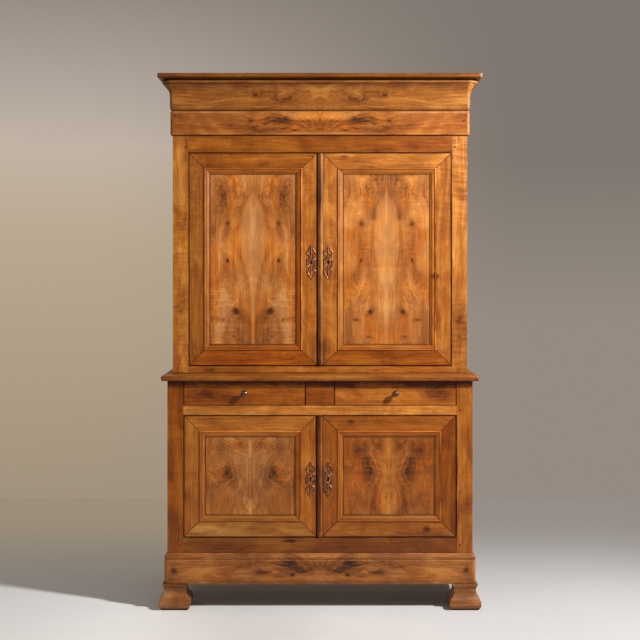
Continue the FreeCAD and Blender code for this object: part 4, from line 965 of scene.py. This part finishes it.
def escutcheon(node):
    """A pierced keyhole plate of scrolls and leaves, worn bright on its high places."""
    low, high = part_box(node)
    cx, cz = (low.x + high.x) / 2, (low.z + high.z) / 2
    face, rise = high.y, high.y - low.y
    scale = (high.z - low.z) / 2 / THOUSANDTHS
    straps = [(points, mirror) for mirror in (-1, 1) for points in ESCUTCHEON_LIMBS]
    straps += [(points, 1) for points in ESCUTCHEON_STEMS]
    bm = bmesh.new()
    for points, mirror in straps:
        path = smooth_path(points)
        line = [(cx + mirror * x * scale, cz + z * scale, half * scale) for x, z, half in path]
        limb(bm, line, face, rise)
    boss(bm, cx, cz, face, rise, scale)
    bmesh.ops.recalc_face_normals(bm, faces=bm.faces)
    name = node + "_bronze"
    mesh = mesh_of(name, bm)
    mesh.shade_smooth()
    mesh.set_sharp_from_angle(angle=PLATE_SMOOTH_ANGLE)
    settle(name, mesh, node, "bronze")


# The finish of each node's boards, and their brightness, redness and ripple by the side they lie on. The
# doors' right mouldings, and the lower doors' top mouldings, are made brighter: painted light that undoes
# the lamp's shade on them.
BARE = ("plain_wood", {"all": (1.0, 0.0, 0.2)})
BOARDS = {
    "front_feet": ("foot", {"left": (0.77, 0.62, 0.1), "right": (0.84, 0.54, 0.1)}),
    "plinth_boards": ("plinth", {
        "all": (0.75, 0.17, 0.2), "left": (0.74, 0.10, 0.2),
        "right": (0.85, 0.10, 0.2)}),
    "buffet_front_posts": ("cherry", {"left": (0.55, 1.15, 0.3), "right": (0.69, 0.61, 0.4)}),
    "buffet_rear_posts": ("cherry", {"left": (0.70, 0.2, 0.2), "right": (0.72, 0.2, 0.2)}),
    "buffet_side_rails": ("cherry", {"left": (0.74, 0.2, 0.2), "right": (0.74, 0.2, 0.2)}),
    "buffet_side_panels": ("cherry", {"left": (0.78, 0.2, 0.3), "right": (0.78, 0.1, 0.3)}),
    "buffet_front_rails": ("framing", {"low": (0.42, 0.87, 0.3), "high": (1.02, -0.07, 0.4)}),
    "buffet_top": ("ledge", {"all": (0.56, 0.44, 0.2)}),
    "buffet_back": BARE,
    "buffet_floor": BARE,
    "buffet_shelf": BARE,
    "drawer_divider": ("framing", {"all": (0.63, 1.17, 0.2)}),
    "drawer_runners": BARE,
    "hutch_front_posts": ("cherry", {"left": (0.87, 0.10, 0.8), "right": (0.84, -0.07, 0.9)}),
    "hutch_rear_posts": ("cherry", {"left": (0.74, 0.2, 0.2), "right": (0.76, 0.1, 0.2)}),
    "hutch_side_rails": ("cherry", {"left": (0.76, 0.2, 0.2), "right": (0.78, 0.1, 0.2)}),
    "hutch_side_panels": ("cherry", {"left": (0.80, 0.15, 0.4), "right": (0.84, 0.1, 0.4)}),
    "hutch_front_rails": ("framing", {"low": (0.76, 0.40, 0.3), "high": (0.53, 0.95, 0.3)}),
    "hutch_back": BARE,
    "hutch_floor": BARE,
    "hutch_ceiling": BARE,
    "hutch_shelves": BARE,
    "shelf_cleats": BARE,
    "joint_pegs": ("cherry", {"all": (0.10, 0.4, 0.0)}),
    "frieze_boards": ("frieze", {
        "all": (0.74, 0.48, 0.3), "left": (0.7, 0.4, 0.2),
        "right": (0.95, 0.2, 0.2)}),
    "cornice_mouldings": ("cornice", {
        "all": (0.62, 0.04, 0.3), "left": (0.48, 0.30, 0.2),
        "right": (0.72, 0.15, 0.2)}),
    "cornice_cap": ("ledge", {"all": (0.39, 0.50, 0.2)}),
    "upper_left_door_frame": ("framing", {
        "left": (0.70, 0.25, 0.4), "right": (0.78, 0.50, 0.4),
        "low": (0.83, 1.10, 0.3), "high": (0.61, 0.85, 0.3)}),
    # painted light: the right moulding is brighter, undoing the lamp's shade on it
    "upper_left_door_mouldings": ("moulding", {
        "left": (0.68, 0.55, 0.2), "right": (1.50, 0.38, 0.2),
        "low": (0.67, 0.85, 0.2), "high": (0.76, 0.75, 0.2)}),
    "upper_left_door_panel": ("upper_panel", {"all": (0.96, 0.17, 0.80)}),
    "upper_right_door_frame": ("framing", {
        "left": (0.88, 0.07, 0.5), "right": (0.71, 0.40, 0.5),
        "low": (0.59, 1.15, 0.3), "high": (0.93, -0.05, 0.3)}),
    # painted light: the right moulding is brighter, undoing the lamp's shade on it
    "upper_right_door_mouldings": ("moulding", {
        "left": (0.76, 0.15, 0.2), "right": (1.48, 0.05, 0.2),
        "low": (0.64, 0.70, 0.2), "high": (0.80, 0.38, 0.2)}),
    "upper_right_door_panel": ("upper_panel", {"all": (0.84, 0.20, 0.80)}),
    "lower_left_door_frame": ("framing", {
        "left": (0.76, 0.40, 0.3), "right": (0.73, 0.73, 0.3),
        "low": (0.75, -0.45, 0.3), "high": (0.87, 0.30, 0.3)}),
    # painted light: the right and top mouldings are brighter, undoing the lamp's shade on them
    "lower_left_door_mouldings": ("moulding", {
        "left": (0.69, 0.55, 0.2), "right": (1.24, 0.56, 0.2),
        "low": (0.65, 0.05, 0.2), "high": (1.22, 0.40, 0.2)}),
    "lower_left_door_panel": ("lower_panel", {"all": (0.80, 0.10, 0.3)}),
    "lower_right_door_frame": ("framing", {
        "left": (0.67, 0.77, 0.3), "right": (0.45, 1.30, 0.3),
        "low": (0.63, 0.60, 0.3), "high": (0.61, 0.80, 0.3)}),
    # painted light: the right and top mouldings are brighter, undoing the lamp's shade on them
    "lower_right_door_mouldings": ("moulding", {
        "left": (0.76, 0.65, 0.2), "right": (1.16, 0.68, 0.2),
        "low": (0.56, 0.65, 0.2), "high": (1.20, 0.80, 0.2)}),
    "lower_right_door_panel": ("lower_panel", {"all": (0.70, 0.65, 0.3)}),
    "left_drawer_front": ("framing", {"all": (0.74, 0.93, 0.3)}),
    "right_drawer_front": ("framing", {"all": (0.74, 0.64, 0.3)}),
    "left_drawer_box": BARE,
    "right_drawer_box": BARE,
    "left_drawer_bottom": BARE,
    "right_drawer_bottom": BARE,
}

# Boards whose edges stay as the solids have them, the axis of the grain in a door panel, and the
# materials of the CAD nodes that are kept.
UNEASED = ("cornice_cap", "buffet_top", "joint_pegs", "front_feet")
UP = 2
KEPT_FINISHES = {"iron": "iron", "dark_turned_wood": "knob"}

for name, (finish, tones) in BOARDS.items():
    eased = name not in UNEASED and not name.endswith("mouldings")
    boards(name, finish, tones, ARRIS if eased else 0.0, UP if name.endswith("door_panel") else None)

for name, node in frame["nodes"].items():
    if name.endswith("escutcheon"):
        escutcheon(name)
    elif name not in BOARDS:
        for slot in node.material_slots:
            slot.material = MATERIALS[KEPT_FINISHES[SLOT_OF[name]]]


# Room, lamps and camera

def seen_directly(graph):
    """1 for what the camera, a reflection or glass shows, 0 for what only lights the scene."""
    ray = graph.node("LightPath")
    return graph.math("ADD", graph.add(ray.outputs["Is Camera Ray"], ray.outputs["Is Glossy Ray"]),
                      ray.outputs["Is Transmission Ray"], clamp=True)


def floor_material():
    """Pale and a little cloudy, with painted light at the left and painted shade towards the key lamp at
    the right, and far back, for the camera, a painted glow in the wall's colours.
    """
    made, graph, shader = material("floor")
    place = graph.place()
    x, y, _ = graph.split(place)
    cloud = graph.noise(place, scale=1.3, detail=5.0)
    pale = graph.mix(graph.span(cloud, *FLOOR_CLOUDS), *FLOOR_MIDDLE)
    # painted light: the floor is paler at the left
    pale = graph.mix(graph.span(x, *LEFT_BLEND, smooth=True), pale, FLOOR_LEFT_PAINTED_LIGHT)
    # painted shade: the floor is greyer towards the key lamp at the right
    greyer_painted_shade = graph.mix(graph.span(x, *LAMP_SHADE_BLEND, smooth=True), *FLOOR_RIGHT_PAINTED_SHADE)
    graph.feed(shader, "Base Color", graph.mix(graph.span(x, *RIGHT_BLEND, smooth=True), pale, greyer_painted_shade))
    graph.feed(shader, "Roughness", 0.62)
    graph.feed(shader, "Normal", graph.bump(graph.noise(place, scale=90.0, detail=3.0), *FLOOR_RELIEF))
    # painted glow: emission that the camera sees far back in place of the floor
    painted_glow = graph.mix(graph.span(x, *PAINTED_GLOW_BLEND, smooth=True), PAINTED_GLOW_LEFT, PAINTED_GLOW_RIGHT)
    glow = graph.node("Emission", {"Color": painted_glow, "Strength": 1.0})
    far = graph.times(graph.span(y, *PAINTED_GLOW_DEPTH, 0.0, PAINTED_GLOW_SHARE, smooth=True), seen_directly(graph))
    both = graph.node("MixShader", {0: far, 1: shader.outputs[0], 2: glow.outputs[0]})
    graph.feed(made.node_tree.nodes["Material Output"], 0, both.outputs[0])
    return made


def floor():
    """A level sheet that takes the cupboard's shadow."""
    bm = bmesh.new()
    bmesh.ops.create_grid(bm, x_segments=FLOOR_SQUARES, y_segments=FLOOR_SQUARES, size=1.0)
    for vertex in bm.verts:
        vertex.co.x *= FLOOR_HALF
        vertex.co.y = FLOOR_FRONT + (vertex.co.y + 1) / 2 * (FLOOR_BACK - FLOOR_FRONT)
    mesh = mesh_of("floor", bm)
    mesh.materials.append(floor_material())
    piece = add_object("floor", mesh)


def world():
    """Soft light all round. The camera and reflections see a warm grey studio wall, with a painted pool of
    warm light at the left and painted shade at the right.
    """
    made = bpy.data.worlds.new("studio")
    bpy.context.scene.world = made
    made.use_nodes = True
    graph = Graph(made.node_tree)
    light = made.node_tree.nodes["Background"]
    graph.feed(light, "Color", ALL_ROUND_COLOUR)
    graph.feed(light, "Strength", ALL_ROUND_STRENGTH)
    x, _, z = graph.split(graph.node("TexCoord").outputs["Generated"])
    height = graph.span(z, *WALL_HEIGHTS)
    # a painted pool of light at the left and painted shade at the right
    pool, shade = (graph.ramp(height, [(at, (w, w, w, 1.0)) for at, w in stops])
                   for stops in (WALL_POOL, WALL_SHADE))
    # painted warm light on the wall's paint, fading upwards
    paint_and_warm_light = graph.mix(graph.span(height, *WALL_WARM_END, smooth=True), WALL_WARM, WALL_PLAIN)
    wall = graph.mix(graph.span(x, *WALL_BLEND, smooth=True), graph.mix(1.0, pool, paint_and_warm_light, blend="MULTIPLY"),
                     graph.mix(1.0, shade, WALL_PLAIN, blend="MULTIPLY"))
    seen = graph.node("Background", {"Color": wall, "Strength": 1.0})
    both = graph.node("MixShader", {0: seen_directly(graph), 1: light.outputs[0], 2: seen.outputs[0]})
    graph.feed(made.node_tree.nodes["World Output"], 0, both.outputs[0])


def lamp(name, place, target, size, power, colour):
    """A round lamp that shines at its target."""
    light = bpy.data.lights.new(name, "AREA")
    light.shape = "DISK"
    light.size = size
    light.energy = power
    light.color = colour
    made = add_object(name, light)
    made.location = place
    made.rotation_euler = (Vector(target) - Vector(place)).to_track_quat("-Z", "Y").to_euler()


def camera():
    """A level camera in front of the buffet's posts, shifted as the photograph's is."""
    made = add_object("camera", bpy.data.cameras.new("camera"))
    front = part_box("buffet_front_posts")[0].y
    made.location = (0.0, front - CAMERA_DISTANCE, CAMERA_HEIGHT)
    made.rotation_euler = (math.pi / 2, 0.0, 0.0)
    made.data.lens = CAMERA_LENS
    made.data.shift_y = CAMERA_SHIFT
    bpy.context.scene.camera = made


floor()
world()
for name, settings in LAMPS.items():
    lamp(name, *settings)
camera()
bpy.context.scene.view_settings.view_transform = "Standard"
